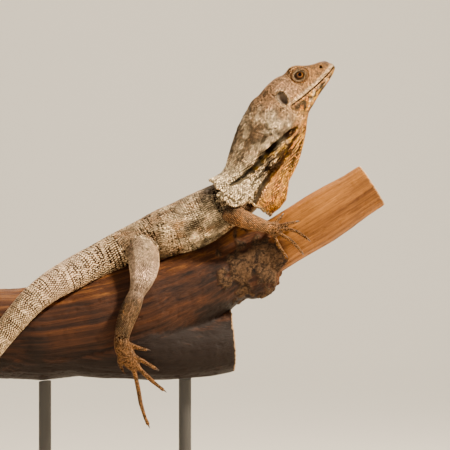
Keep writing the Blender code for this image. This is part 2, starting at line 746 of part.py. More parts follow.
def make_torso(branch_cutters):
    torso = loft("torso", torso_rings(), "scaly_skin")
    return combine(torso, branch_cutters, "DIFFERENCE", "scaly_skin", keep_others=True)


# The head


def lid_ring(side):
    """The rim of the two eyelids, almond shaped and thicker outside than in."""
    centre = np.array(LID_CENTRE)
    rings = []
    for turn in np.linspace(0, 2 * math.pi, 18, endpoint=False):
        long, tall = LID_RADII[0] * math.cos(turn), LID_RADII[1] * math.sin(turn)
        pointed = 1 - 0.10 * math.cos(2 * turn) ** 8 * (abs(math.sin(turn)) < 0.5)
        u = long * math.cos(LID_TURN) - tall * math.sin(LID_TURN)
        w = long * math.sin(LID_TURN) + tall * math.cos(LID_TURN)
        outward = unit(np.array((u, 0, w)))
        middle = centre + np.array((u, 0, w)) * pointed
        ring = []
        for around in np.linspace(0, 2 * math.pi, 6, endpoint=False):
            a, b = LID_THICKNESS[0] * math.cos(around), LID_THICKNESS[1] * math.sin(around)
            point = middle + outward * b + np.array((0, a, 0))
            ring.append(head_place(point[0], side * point[1], point[2]))
        rings.append(ring)
    return np.array(rings)


def eye_opening(side):
    """What is cut away between the lids, as a widening tube from the eyeball outwards."""
    rings = []
    for y, long, tall in LID_OPENING:
        turn = np.linspace(0, 2 * math.pi, 16, endpoint=False)
        u, w = long * np.cos(turn), tall * np.sin(turn)
        across = LID_CENTRE[0] + u * math.cos(LID_TURN) - w * math.sin(LID_TURN)
        up = LID_CENTRE[2] + u * math.sin(LID_TURN) + w * math.cos(LID_TURN)
        rings.append(head_place(across, np.full(16, side * y), up))
    return loft(f"eye_opening_{side}", rings, "scaly_skin")


def torus(name, rings, finish_name):
    """A closed ring-shaped body."""
    count, sides = rings.shape[:2]
    faces = []
    for k in range(count):
        for i in range(sides):
            a, b = k * sides, ((k + 1) % count) * sides
            j = (i + 1) % sides
            faces.append((a + i, a + j, b + j, b + i))
    return mesh_object(name, rings.reshape(-1, 3), faces, finish_name)


def head_ball(name, place, radii, side, finish_name, sides=14):
    axes = np.array((HEAD_U, (0, side, 0), HEAD_W))
    centre = head_place(place[0], side * place[1], place[2])
    return ellipsoid(name, centre, np.array(radii, float), finish_name, sides, axes)


def make_head():
    head = head_body("head")
    lids = [torus(f"lids_{side}", lid_ring(side), "scaly_skin") for side in (-1, 1)]
    combine(head, lids, "UNION", "scaly_skin")
    hollows = []
    for side in (-1, 1):
        socket = np.full(3, EYE_RADIUS + GAP)
        hollows += [
            eye_opening(side),
            head_ball(f"socket_{side}", EYE_CENTRE, socket, side, "scaly_skin", EYE_SIDES),
            head_ball(f"ear_{side}", EAR_CENTRE, EAR_RADII, side, "scaly_skin"),
            head_ball(f"nostril_{side}", NOSTRIL_CENTRE, NOSTRIL_RADII, side, "scaly_skin", 8),
        ]
    combine(head, hollows, "DIFFERENCE", "scaly_skin")
    for side, name in ((-1, "eye_right"), (1, "eye_left")):
        head_ball(name, EYE_CENTRE, np.full(3, EYE_RADIUS), side, "eyeball", EYE_SIDES)
    return head


# The frill


def frill_columns():
    """Shares of the way from the nape to the throat at which the frill has a column of points."""
    found = [0.0, 1.0]
    for centre, half, _, at_middle, _ in FRILL_FOLDS:
        found += [centre - half, centre, centre + half]
        if at_middle > FRILL_DEEP_FOLD:
            found += [centre - half / 2, centre + half / 2]
    columns = [0.0]
    for share in sorted(found):
        if share - columns[-1] > 0.012:
            columns.append(share)
    return np.array(columns)


def fold_depth(across, v):
    """How far the frill's surface dips into its folds."""
    depth = np.zeros(len(across))
    for centre, half, at_root, at_middle, at_edge in FRILL_FOLDS:
        along = np.interp(v, (0, 0.22, 0.5, 0.8, 1), (at_root, 0.4 * at_middle, at_middle, at_middle, at_edge))
        near = np.clip(1 - np.abs(across - centre) / half, 0, 1)
        depth = depth + along * near**1.3
    return depth


def frill_middle(across, v, side):
    """The middle of the frill's membrane at shares across it and down it."""
    turns = [np.interp(v, [row[0] for row in FRILL_TURNS], [row[1][k] for row in FRILL_TURNS]) for k in range(4)]
    turn = np.radians([np.interp(a, FRILL_LINES, [t[i] for t in turns]) for i, a in enumerate(across)])
    rings = np.array([[*nape, *throat, width] for nape, throat, width in FRILL_RINGS])
    place = v * np.interp(across, *zip(*FRILL_EDGE))
    row = read_curve(np.arange(len(rings), dtype=float), rings, np.minimum(place, len(rings) - 1))
    nape, throat, width = row[:, :2], row[:, 2:4], row[:, 4]
    centre, half = (nape + throat) / 2, (nape - throat) / 2
    shrink = 1 - fold_depth(across, v) / np.linalg.norm(half, axis=1)
    flat = centre + half * (np.cos(turn) * shrink)[:, None]
    return np.stack([flat[:, 0], side * width * np.sin(turn) * shrink, flat[:, 1]], axis=1)


def hug(middle, v, under):
    """Lays the frill's root on what is under it and keeps the rest of it outside that."""
    trees = [BVHTree.FromObject(thing, bpy.context.evaluated_depsgraph_get()) for thing in under]
    clear = FRILL_THICKNESS / 2 + 0.1
    for r in range(len(v)):
        weight = max(0.0, 1 - v[r] / FRILL_HUG) ** 1.5
        for c in range(middle.shape[1]):
            point = Vector(middle[r, c] * MM)
            place, normal, _, away = min((tree.find_nearest(point) for tree in trees), key=lambda hit: hit[3])
            height = (point - place).dot(normal) / MM
            wanted = max(clear, height * (1 - weight) + clear * weight)
            if height < clear or weight > 0:
                middle[r, c] = np.array(place) / MM + np.array(normal) * wanted
    return middle


def make_frill(name, side, under, cutters):
    """One half of the folded frill, a pleated membrane open at its free edge."""
    columns = frill_columns()
    n, rows = len(columns), FRILL_ROWS
    v = np.linspace(0, 1, rows)
    middle = np.zeros((rows, n, 3))
    for r in range(rows):
        share = np.full(n, v[r])
        if r == rows - 1:
            share = share + FRILL_EDGE_TOOTH * (np.arange(n) % 2)
        middle[r] = frill_middle(columns, share, side)
    middle = hug(middle, v, under)
    middle[:, -1, 1] = side * GAP / 2
    normal = unit(np.cross(np.gradient(middle, axis=0), np.gradient(middle, axis=1)))
    normal[:, -1, 1] = 0
    normal = unit(normal)
    outer = middle + normal * FRILL_THICKNESS / 2
    inner = middle - normal * FRILL_THICKNESS / 2
    points = np.vstack([outer.reshape(-1, 3), inner.reshape(-1, 3)])
    faces = []
    layer = rows * n
    for r in range(rows - 1):
        for c in range(n - 1):
            a, b, d, e = r * n + c, r * n + c + 1, (r + 1) * n + c, (r + 1) * n + c + 1
            faces += [(a, b, e), (a, e, d)]
            faces += [(layer + a, layer + e, layer + b), (layer + a, layer + d, layer + e)]
    rim = [r * n for r in range(rows)]
    rim += [(rows - 1) * n + c for c in range(1, n)]
    rim += [r * n + n - 1 for r in range(rows - 2, -1, -1)]
    rim += list(range(n - 2, 0, -1))
    for a, b in zip(rim, rim[1:] + rim[:1]):
        faces += [(a, b, layer + b), (a, layer + b, layer + a)]
    frill = mesh_object(name, points, faces, "frill_skin")
    return combine(frill, cutters, "DIFFERENCE", "frill_skin", keep_others=True)


# Limbs


def limb_rings(line, side, grow=0.0, rounded=True):
    """Rings along one length of a limb, with a rounded far end where the next length bends round it."""
    rows = smooth_rows(line, LIMB_RINGS)
    if rounded:
        end = rows[-1].copy()
        way = unit(end[:3] - rows[-2][:3])
        for along, wide in ((0.45, 0.86), (0.8, 0.5)):
            rows = np.vstack([rows, [*(end[:3] + way * end[3] * along), *(end[3:] * wide)]])
    return np.array(tube_rings(rows, LIMB_SIDES, hint=(0, side, 0.25), grow=grow))


def limb_length(name, line, side, before, cutters):
    """One length of a limb, cut clear of the length before it and of what it lies on."""
    piece = loft(name, limb_rings(line, side), "scaly_skin")
    return clear_of(piece, before, side, cutters)


def clear_of(piece, before, side, cutters):
    clearance = [loft(piece.name + "_clearance", limb_rings(before, side, GAP), "scaly_skin")] if before else []
    combine(piece, [*clearance, *cutters], "DIFFERENCE", "scaly_skin", keep_others=True)
    for thing in clearance:
        bpy.data.objects.remove(thing)
    return piece


def digit(name, line, thickness, lift, side):
    """One toe or finger with its claw, laid on the branch."""
    path = smooth_rows(line, DIGIT_RINGS)
    way = unit(path[-1] - path[-2])
    path[-1] -= way * CLAW_LENGTH
    rows = []
    for k, (x, y, z) in enumerate(path):
        share = k / (DIGIT_RINGS - 1)
        knuckle = 0.10 * math.cos(share * 4 * math.pi)
        radius = thickness * (1.05 - 0.32 * share + knuckle)
        if k > 1:
            y = side * max(side * y, wood_reach(x, z, side) + lift * (1 - 0.25 * share))
        rows.append([x, y, z, radius])
    x, y, z, radius = rows[-1]
    for along, thick, bend in ((0.02, 1, 0), (0.55, 0.72, 0.35), (1, None, 1)):
        size = CLAW_TIP if thick is None else radius * CLAW_ROOT * thick
        place = np.array((x, y, z)) + way * CLAW_LENGTH * along
        rows.append([place[0], place[1] - side * bend * CLAW_HOOK, place[2], size])
    return loft(name, tube_rings(rows, DIGIT_SIDES, hint=(0.05, side, 0.05)), "scaly_skin")


def paw(name, line, digits, lift, side, before, cutters):
    """A hand or foot: the palm with its digits joined in one body."""
    palm = loft(name, limb_rings(line, side, rounded=False), "scaly_skin")
    extra = [digit(f"{name}_{k}", path, thick, lift, side) for k, (path, thick) in enumerate(digits)]
    combine(palm, extra, "UNION", "scaly_skin")
    return clear_of(palm, before, side, cutters)


def limbs():
    """Each side's word and sign, with its leg, its arm, its toes and its fingers."""
    return (
        ("right", -1, (THIGH_RIGHT, SHANK_RIGHT, FOOT_RIGHT), (UPPER_ARM_RIGHT, FOREARM_RIGHT, HAND_RIGHT),
         TOES_RIGHT, FINGERS_RIGHT),
        ("left", 1, (THIGH_LEFT, SHANK_LEFT, FOOT_LEFT), (UPPER_ARM_LEFT, FOREARM_LEFT, HAND_LEFT),
         TOES_LEFT, FINGERS_LEFT),
    )


def make_limbs(branch_cutters, torso_cutter):
    both = [torso_cutter, *branch_cutters]
    for word, side, (thigh, shank, foot), (upper_arm, forearm, hand), toes, fingers in limbs():
        limb_length(f"thigh_{word}", thigh, side, None, both)
        limb_length(f"shank_{word}", shank, side, thigh, branch_cutters)
        paw(f"foot_{word}", foot, toes, TOE_LIFT, side, shank, branch_cutters)
        limb_length(f"upper_arm_{word}", upper_arm, side, None, both)
        limb_length(f"forearm_{word}", forearm, side, upper_arm, both)
        paw(f"hand_{word}", hand, fingers, FINGER_LIFT, side, forearm, branch_cutters)


def arm_cutters():
    """The arms a gap larger, which the frill drapes over."""
    found = []
    for word, side, _, arm, *_ in limbs():
        for k, line in enumerate(arm[:2]):
            found.append(loft(f"arm_clearance_{word}_{k}", limb_rings(line, side, GAP), "scaly_skin"))
    return found


def build():
    for thing in list(bpy.data.objects):
        bpy.data.objects.remove(thing)
    branch_cutters = branch_bodies("branch_clearance", GAP)
    torso_cutter = loft("torso_clearance", torso_rings(GAP), "scaly_skin")
    neck_cutter = loft("neck_clearance", neck_rings(GAP), "scaly_skin")
    head_cutter = head_body("head_clearance", GAP)
    make_branch()
    make_stand(branch_cutters)
    make_torso(branch_cutters)
    loft("neck", neck_rings(), "scaly_skin")
    make_head()
    make_tail(branch_cutters)
    make_limbs(branch_cutters, torso_cutter)
    arms = arm_cutters()
    frill_cutters = [torso_cutter, neck_cutter, head_cutter, *arms, *branch_cutters]
    make_frill("frill_right", -1, [head_cutter, neck_cutter], frill_cutters)
    make_frill("frill_left", 1, [head_cutter, neck_cutter], frill_cutters)
    for cutter in frill_cutters:
        bpy.data.objects.remove(cutter)


build()
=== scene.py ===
"""A frilled lizard lying along a cut branch on a display stand: skin, scales, frill, eyes, claws and wood."""

import math

import bmesh
import bpy
import numpy as np
from bpy.props import FloatProperty, FloatVectorProperty, IntProperty, PointerProperty
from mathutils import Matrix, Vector
from mathutils.bvhtree import BVHTree


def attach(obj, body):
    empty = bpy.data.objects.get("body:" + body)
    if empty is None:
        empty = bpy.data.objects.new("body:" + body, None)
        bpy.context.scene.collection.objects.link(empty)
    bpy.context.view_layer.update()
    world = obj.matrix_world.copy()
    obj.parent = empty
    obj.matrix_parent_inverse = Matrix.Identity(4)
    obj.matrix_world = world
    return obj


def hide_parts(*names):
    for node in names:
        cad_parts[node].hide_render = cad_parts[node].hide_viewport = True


bl_info = {
    "name": "Frilled lizard on a branch",
    "version": (1, 0, 0),
    "blender": (4, 5, 0),
    "location": "View3D > Sidebar > Lizard",
    "description": "Dresses the frilled lizard and its branch with skin, scales, eyes, claws and wood",
    "category": "Object",
}

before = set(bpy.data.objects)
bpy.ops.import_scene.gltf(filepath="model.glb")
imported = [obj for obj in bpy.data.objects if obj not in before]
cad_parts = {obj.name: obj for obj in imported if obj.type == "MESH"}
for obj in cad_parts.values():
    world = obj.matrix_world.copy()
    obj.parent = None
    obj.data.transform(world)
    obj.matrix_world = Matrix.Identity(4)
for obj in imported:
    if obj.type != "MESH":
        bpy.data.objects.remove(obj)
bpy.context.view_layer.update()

MM = 0.001
SEED = 11
EYE_NODES = ("eye_right", "eye_left")
STAND_NODES = ("stand_base", "stand_rod_1", "stand_rod_2")
FLESH_NODES = tuple(
    sorted(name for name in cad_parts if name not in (*EYE_NODES, *STAND_NODES, "perch_branch"))
)
REGIONS = ("head", "neck", "frill", "torso", "tail", "thigh", "shank", "foot", "upper_arm", "forearm", "hand")

# The head's own frame, in millimetres: u from the nape to the snout, y outwards, w up out of the crown.
HEAD_BASE = np.array((97.6, 0, 434.6))
HEAD_TILT = math.radians(33.9)
HEAD_U = np.array((math.cos(HEAD_TILT), 0, math.sin(HEAD_TILT)))
HEAD_W = np.array((-math.sin(HEAD_TILT), 0, math.cos(HEAD_TILT)))
HEAD_AXIS = ((-4, -3.5), (12, -2), (30, 0.5), (44, 1.0), (52, 1.2), (57.5, 1.6))  # u and w
MOUTH_LINE = np.array((
    (13, 18.6, -7.6), (21, 17.2, -7.0), (28, 15.3, -6.5), (36, 12.8, -5.6), (44, 10.2, -4.3),
    (50, 8.0, -3.0), (55, 5.6, -1.6), (58.4, 2.9, -0.4),
))
EYE_PLACE = (32.0, 8.6, 9.0)
LID_PLACE = (32.0, 13.6, 8.9)
LID_RADII = (5.4, 4.6)
LID_TURN = math.radians(-14)
# Rings of scales on the lids: how far out each lies, with 0 at the rim, and the size of its scales.
LID_RINGS = ((0.1, 0.5), (0.32, 0.55), (0.56, 0.62), (0.8, 0.68), (1.05, 0.72), (1.4, 0.78), (1.8, 0.85))
EAR_PLACE = (10.6, 18.6, 1.2)
EAR_RADII = (3.6, 5.6)
NOSTRIL_PLACE = (50.0, 7.4, 5.2)
TEMPLE_FOLD = ((5.6, 6.9), (14.0, 5.2))  # u and w of the ends of the crease over the ear

EYE_RADIUS = 6.2
CORNEA = 0.3
EYE_SHOWN = 0.72  # angle from the middle of the pupil to the last colour band, in radians
# Colours from the middle of the pupil outwards, with where each lies as a share of that angle.
IRIS = (
    (0.0, "050403"), (0.34, "0A0604"), (0.37, "9A6026"), (0.46, "7A4819"), (0.62, "4A2B12"), (0.8, "38200D"),
    (1.0, "1E120A"),
)
CLAW_LENGTH = 4.6
CLAW_RADIUS = 0.95
FRILL_DOWN = (-0.48, 0, -0.877)
FRILL_ROOT_WAY = (-0.218, 0, -0.976)  # square to the ring where the frill starts
FRILL_ROOT_DEPTH = 1.25
FRILL_ROOT_LENGTH = 13
FRILL_GAP = (  # x and z along the deep fold under the frill's upper panel
    (116.8, 418.6), (111.2, 414.6), (104.8, 409.8), (96.8, 403.4), (89.6, 395.4), (83.2, 387.4), (76.0, 381.0),
    (68.8, 375.4), (63.2, 372.2),
)
POUCH_GAP = ((111.2, 399.4), (104.8, 392.2), (99.2, 385.0), (93.6, 378.6), (88.8, 371.4), (85.6, 364.2),
             (83.2, 358.6))
THROAT_FOLDS = (
    ((122.4, 418.6), (114.4, 408.2), (107.2, 399.4), (100.0, 389.8), (94.0, 382.0)),
    ((124.8, 414.6), (119.2, 403.4), (114.4, 393.0), (110.4, 383.4)),
    ((117.5, 413.0), (109.5, 404.5), (101.5, 397.0), (94.5, 389.0), (87.5, 380.5), (80.5, 372.5)),
)
PALE_CREASES = (
    ((95.5, 431.0), (92.8, 423.6), (96.0, 417.4), (100.8, 411.0)),
    ((88.8, 414.8), (94.4, 413.6), (98.6, 415.6)),
)
YELLOW_SPOTS = ((89.6, 391.4), (92.2, 394.8), (85.0, 385.4), (106.4, 403.0), (103.0, 400.2), (111.8, 408.4),
                (98.2, 397.0), (81.0, 380.0))
FRILL_START = (105.8, 0, 435.3)
FRILL_MIDDLE = (95, 0, 395)
FOLD_SHARPEN = 0.9  # how much deeper than the solids' the folds of the frill are pressed
FRINGE_TURN = 2.4  # degrees between pointed scales on the frill's free edge

# The branch, its fork and its knot, as x and z, with the knot's centre and radii.
BRANCH_AXIS = ((-138, 254.0), (-80, 255.2), (-40, 261.6), (0, 273.4), (40, 290.6), (80, 313.0), (120, 336.4),
               (160, 361.4), (178, 373.0))
FORK_AXIS = ((-84, 251), (-40, 246), (0, 244.5), (36, 243), (66, 244.5))
BARK_PLACE = (84, -12, 306)
BARK_RADII = (26, 30, 27)
# Faces square to the wood beyond these are cut ends: the branch's two x, and the fork's x and its z from above.
BRANCH_ENDS = (-135, 165)
FORK_END = (58, 266)
# Swells of the branch under the lizard: height, and the x where each starts, is full, falls and ends.
SWELLS = ((10.2, 38, 70, 68, 90), (1.4, 6, 18, 40, 60), (3.0, -52, -32, -12, 4))

# The lines inside the folded frill, from behind the jaw to its free edge, and inside the neck, as x and z.
FRILL_AXIS = ((105.8, 435.3), (100.8, 424.6), (96.0, 411.0), (92.4, 400.0), (88.0, 389.0), (83.0, 376.5),
              (71.0, 359.0))
NECK_AXIS = ((84.0, 374.5), (92, 388), (95, 402), (96.6, 418), (96.5, 430))

# The way that a line's frame leans: towards the snout, or outwards and up.
FORWARD = (1, 0, 0)
OUT_AND_UP = (0, 1, 1)

# Hip or shoulder, knee or elbow, and ankle or wrist.
LEG_RIGHT = ((-7.0, -4.0, 328.0), (-4.4, -22.0, 311.5), (-9.2, -39.0, 287.4), (-17.6, -45.0, 265.6),
             (-20.6, -44.6, 254.4))
LEG_LEFT = ((-7.0, 4.0, 328.0), (3.0, 21.0, 316.0), (20.0, 38.0, 302.0), (4.0, 43.0, 279.0), (-1.6, 42.2, 268.6))
ARM_RIGHT = ((80.0, -10.0, 363.0), (63.6, -28.6, 348.8), (74.0, -31.2, 346.0), (93.0, -26.8, 339.6))
ARM_LEFT = ((80.0, 10.0, 363.0), (65.6, 28.6, 350.6), (73.0, 31.4, 344.6), (86.0, 28.8, 330.4))
SPINE_START = (84.0, 0.0, 374.5)
SPINE_WAY = (-0.7, 0.0, -0.7)
TAIL_FROM = ((-23.0, 0.0, 321.2), (-0.85, -0.2, -0.45))  # a point and the way from it


# Small tools


def linear(hex_colour):
    """Linear light from an sRGB hex colour."""
    shares = np.array([int(hex_colour[i : i + 2], 16) / 255 for i in (0, 2, 4)])
    return np.where(shares <= 0.04045, shares / 12.92, ((shares + 0.055) / 1.055) ** 2.4)


def rgba(hex_colour):
    return (*linear(hex_colour), 1.0)


def unit(vectors):
    return vectors / np.maximum(np.linalg.norm(vectors, axis=-1, keepdims=True), 1e-12)


def ramp(value, low, high):
    """0 below low, 1 above high and smooth between."""
    t = np.clip((value - low) / (high - low), 0, 1)
    return t * t * (3 - 2 * t)


def dip(distance, width):
    """1 at no distance and near 0 beyond the width."""
    return np.exp(-((distance / width) ** 2))


def chance(cells, seed):
    """A steady number from 0 to 1 for each whole-numbered cell."""
    x, y, z = (cells[..., k].astype(np.int64).astype(np.uint32) for k in range(3))
    mixed = (x * np.uint32(0x8DA6B343)) ^ (y * np.uint32(0xD8163841)) ^ (z * np.uint32(0xCB1AB31F))
    mixed = (mixed ^ np.uint32(seed * 7919 + 13)) * np.uint32(0x5BD1E995)
    mixed = (mixed ^ (mixed >> np.uint32(13))) * np.uint32(0x27D4EB2F)
    mixed = mixed ^ (mixed >> np.uint32(15))
    return mixed.astype(np.float64) / 2**32


CORNERS = np.array([(i, j, k) for i in (0, 1) for j in (0, 1) for k in (0, 1)])
# a turn of the lattice, so that no patch lines up with the axes
TILT = np.array(((0.36, 0.48, -0.80), (-0.80, 0.60, 0.00), (0.48, 0.64, 0.60)))


def cloud(points, size, seed):
    """Soft patches about size across, from 0 to 1."""
    at = points @ TILT / size
    cell = np.floor(at)
    share = at - cell
    share = share * share * (3 - 2 * share)
    total = np.zeros(len(points))
    for corner in CORNERS:
        weight = np.prod(np.where(corner, share, 1 - share), axis=1)
        slope = np.stack([chance(cell + corner, seed + 101 * k) for k in range(3)], axis=1) - 0.5
        total += weight * (slope * (at - cell - corner)).sum(axis=1)
    return np.clip(0.5 + 2.2 * total, 0, 1)


def points_of(mesh, normals=False):
    """The mesh's vertices, or their normals, as rows."""
    rows = np.zeros(len(mesh.vertices) * 3, np.float32)
    if normals:
        mesh.vertex_normals.foreach_get("vector", rows)
    else:
        mesh.vertices.foreach_get("co", rows)
    return rows.reshape(-1, 3).astype(float)


def move_to(mesh, points):
    mesh.vertices.foreach_set("co", points.astype(np.float32).ravel())


def faces_of(mesh):
    mesh.calc_loop_triangles()
    rows = np.zeros(len(mesh.loop_triangles) * 3, np.int32)
    mesh.loop_triangles.foreach_get("vertices", rows)
    return rows.reshape(-1, 3)


def mesh_object(name, points, faces, material, smooth=True):
    """An object from rows of points in metres and rows of triangles or quads."""
    points, faces = np.asarray(points, np.float32), np.asarray(faces, np.int32)
    mesh = bpy.data.meshes.new(name)
    mesh.vertices.add(len(points))
    mesh.vertices.foreach_set("co", points.ravel())
    mesh.loops.add(faces.size)
    mesh.polygons.add(len(faces))
    mesh.polygons.foreach_set("loop_start", np.arange(0, faces.size, faces.shape[1], dtype=np.int32))
    mesh.loops.foreach_set("vertex_index", faces.ravel())
    mesh.update(calc_edges=True)
    mesh.validate()
    mesh.polygons.foreach_set("use_smooth", np.full(len(mesh.polygons), smooth))
    mesh.materials.append(material)
    thing = bpy.data.objects.new(name, mesh)
    bpy.context.scene.collection.objects.link(thing)
    return thing


def between_rings(start, sides):
    """Triangles between a ring of points and the next ring after it."""
    faces = []
    for j in range(sides):
        a, b = start + j, start + (j + 1) % sides
        faces += [(a, a + sides, b + sides), (a, b + sides, b)]
    return faces


def give(mesh, name, values):
    """Stores a number or a colour at each vertex for the material to read."""
    values = np.asarray(values, np.float32)
    if values.ndim == 1:
        mesh.attributes.new(name, "FLOAT", "POINT").data.foreach_set("value", values)
    elif name == "grain":
        mesh.attributes.new(name, "FLOAT_VECTOR", "POINT").data.foreach_set("vector", values.ravel())
    else:
        coloured = np.hstack([values, np.ones((len(values), 1), np.float32)])
        mesh.attributes.new(name, "FLOAT_COLOR", "POINT").data.foreach_set("color", coloured.ravel())


def joined_copy(name, nodes, weld=2e-6):
    """One mesh from copies of the named CAD nodes, with split vertices welded."""
    joined = bmesh.new()
    for node in nodes:
        joined.from_mesh(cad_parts[node].data)
    bmesh.ops.remove_doubles(joined, verts=joined.verts, dist=weld)
    joined.normal_update()
    mesh = bpy.data.meshes.new(name)
    joined.to_mesh(mesh)
    joined.free()
    thing = bpy.data.objects.new(name, mesh)
    bpy.context.scene.collection.objects.link(thing)
    return thing


def bake(thing, kind, **settings):
    """Applies one modifier."""
    modifier = thing.modifiers.new(kind.title(), kind)
    for key, value in settings.items():
        setattr(modifier, key, value)
    shaped = thing.evaluated_get(bpy.context.evaluated_depsgraph_get())
    mesh = bpy.data.meshes.new_from_object(shaped)
    thing.modifiers.clear()
    old, thing.data = thing.data, mesh
    bpy.data.meshes.remove(old)
    return thing


def smoothed(values, edges, times, weight=0.5):
    """Values at the vertices, spread along the edges."""
    count = np.bincount(edges.ravel(), minlength=len(values)).astype(float)[:, None]
    flat = values.reshape(len(values), -1)
    for _ in range(times):
        total = np.stack(
            [
                np.bincount(edges[:, 0], flat[edges[:, 1], k], len(flat))
                + np.bincount(edges[:, 1], flat[edges[:, 0], k], len(flat))
                for k in range(flat.shape[1])
            ],
            axis=1,
        )
        flat = flat + weight * (total / np.maximum(count, 1) - flat)
    return flat.reshape(values.shape)


def edges_of(mesh):
    rows = np.zeros(len(mesh.edges) * 2, np.int32)
    mesh.edges.foreach_get("vertices", rows)
    return rows.reshape(-1, 2)


def region_of(name):
    return next(k for k, region in enumerate(REGIONS) if name.startswith(region))


def within(regions, names):
    """Which of the numbered regions are among those named."""
    return np.isin(regions, [REGIONS.index(name) for name in names])


def region_finder():
    """A tree of all flesh nodes, with the region of each of its faces."""
    corners, faces, regions = [], [], []
    for name in FLESH_NODES:
        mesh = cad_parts[name].data
        found = faces_of(mesh)
        faces.append(found + sum(len(rows) for rows in corners))
        corners.append(points_of(mesh))
        regions += [region_of(name)] * len(found)
    tree = BVHTree.FromPolygons(np.vstack(corners).tolist(), np.vstack(faces).tolist())
    return tree, np.array(regions)


def head_frame(points):
    """Points in millimetres in the head's own frame, with y counted outwards on both sides."""
    away = points - HEAD_BASE
    return away @ HEAD_U, np.abs(away[:, 1]), away @ HEAD_W


def head_place(u, y, w):
    return HEAD_BASE + np.multiply.outer(u, HEAD_U) + np.multiply.outer(w, HEAD_W) + np.multiply.outer(y, (0, 1, 0))


def off_line(points, line):
    """How far each point is in front of a line drawn on the lizard's side, in millimetres.

    The second value is how far along the line it lies, from 0 to 1."""
    at, line = points[:, [0, 2]], np.array(line)
    nearest, along = np.full(len(at), 1e3), np.zeros(len(at))
    for k, (start, end) in enumerate(zip(line, line[1:])):
        share = np.clip((at - start) @ (end - start) / ((end - start) @ (end - start)), 0, 1)
        off = np.linalg.norm(at - start - share[:, None] * (end - start), axis=1)
        before = (end - start)[0] * (at - start)[:, 1] - (end - start)[1] * (at - start)[:, 0] > 0
        closer = off < np.abs(nearest)
        nearest = np.where(closer, np.where(before, off, -off), nearest)
        along = np.where(closer, (k + share) / (len(line) - 1), along)
    return nearest, along


def fold_depth(points, line, width):
    """1 at the bottom of a fold drawn on the lizard's side: steep behind, soft in front, and narrow at its ends."""
    off, along = off_line(points, line)
    off = off + 0.9 * (cloud(points, 8, 71) - 0.5)
    width = width * (0.35 + 0.65 * np.sin(math.pi * along) ** 0.6)
    return np.where(off > 0, dip(off, width), dip(off, 0.4 * width))


def lid_distance(u, w):
    """Distance from the middle of the eye, 1 at the middle of the lid's rim."""
    du, dw = u - LID_PLACE[0], w - LID_PLACE[2]
    along = du * math.cos(LID_TURN) + dw * math.sin(LID_TURN)
    across = dw * math.cos(LID_TURN) - du * math.sin(LID_TURN)
    return np.hypot(along / LID_RADII[0], across / LID_RADII[1])


def ear_distance(u, w):
    """Distance from the middle of the ear, 1 at the rim of the eardrum."""
    return np.hypot((u - EAR_PLACE[0]) / EAR_RADII[0], (w - EAR_PLACE[2]) / EAR_RADII[1])


def nostril_distance(u, w):
    return np.hypot(u - NOSTRIL_PLACE[0], w - NOSTRIL_PLACE[2])


def mouth_height(u):
    """w of the line between the lips."""
    return np.interp(u, MOUTH_LINE[:, 0], MOUTH_LINE[:, 2])


def temple_distance(u, w):
    """Distance from the crease over the ear, and whether a point is above it."""
    start, end = np.array(TEMPLE_FOLD)
    way = unit(end - start)
    along = np.clip((u - start[0]) * way[0] + (w - start[1]) * way[1], 0, np.linalg.norm(end - start))
    off = np.hypot(u - start[0] - along * way[0], w - start[1] - along * way[1])
    return off, w > start[1] + along * way[1]


class Line:
    """A smooth line through points, with a frame at each distance along it."""

    def __init__(self, rows, hint=(0, 0, 1)):
        rows = np.array(rows, float)
        if rows.shape[1] == 2:
            rows = np.stack([rows[:, 0], np.zeros(len(rows)), rows[:, 1]], axis=1)
        self.at = np.concatenate([[0], np.cumsum(np.linalg.norm(np.diff(rows, axis=0), axis=1))])
        self.length = self.at[-1]
        self.rows = rows
        self.ways = unit(np.gradient(rows, self.at, axis=0))
        self.hint = np.array(hint, float)

    def place(self, s):
        return np.stack([np.interp(s, self.at, self.rows[:, k]) for k in range(3)], axis=-1)

    def axes(self, s):
        way = unit(np.stack([np.interp(s, self.at, self.ways[:, k]) for k in range(3)], axis=-1))
        side = unit(np.cross(way, self.hint))
        return way, side, np.cross(side, way)

    def unwrap(self, points):
        """Distance along the line and turn about it of each point."""
        dense = np.linspace(0, self.length, 160)
        places = self.place(dense)
        nearest = np.concatenate(
            [
                np.argmin(((part[:, None] - places[None]) ** 2).sum(axis=2), axis=1)
                for part in np.array_split(points, max(1, len(points) // 4000))
            ]
        )
        _, side, up = self.axes(dense)
        away = points - places[nearest]
        turn = np.arctan2((away * side[nearest]).sum(axis=1), (away * up[nearest]).sum(axis=1))
        return dense[nearest], turn


def march(points, place, way, step, reach):
    """The middle line of a long bent body, found slice by slice from its surface points."""
    place, way = np.array(place, float), unit(np.array(way, float))
    line = [place]
    while len(line) < 400:
        guess = place + way * step
        away = points - guess
        close = (np.abs(away @ way) < step * 0.5) & (np.linalg.norm(away, axis=1) < reach)
        if close.sum() < 10:
            break
        low, high = points[close].min(axis=0), points[close].max(axis=0)
        middle = 0.5 * points[close].mean(axis=0) + 0.25 * (low + high)
        middle += way * ((guess - middle) @ way)
        new_way = unit(middle - place)
        way = unit(0.6 * way + 0.4 * new_way)
        place = middle
        line.append(place)
    return np.array(line)


# Materials


def plug(tree, node, inputs):
    """Fills a node's sockets with values, with outputs, or with the first output in use of other nodes."""
    for key, value in inputs.items():
        if isinstance(value, bpy.types.Node):
            value = next(socket for socket in value.outputs if socket.enabled)
        if isinstance(value, bpy.types.NodeSocket):
            tree.links.new(value, node.inputs[key])
        else:
            node.inputs[key].default_value = value


def add(tree, kind, inputs=None, **settings):
    """Adds a shader node with its properties and what goes into it."""
    node = tree.nodes.new(f"ShaderNode{kind}")
    for key, value in settings.items():
        setattr(node, key, value)
    plug(tree, node, inputs or {})
    return node


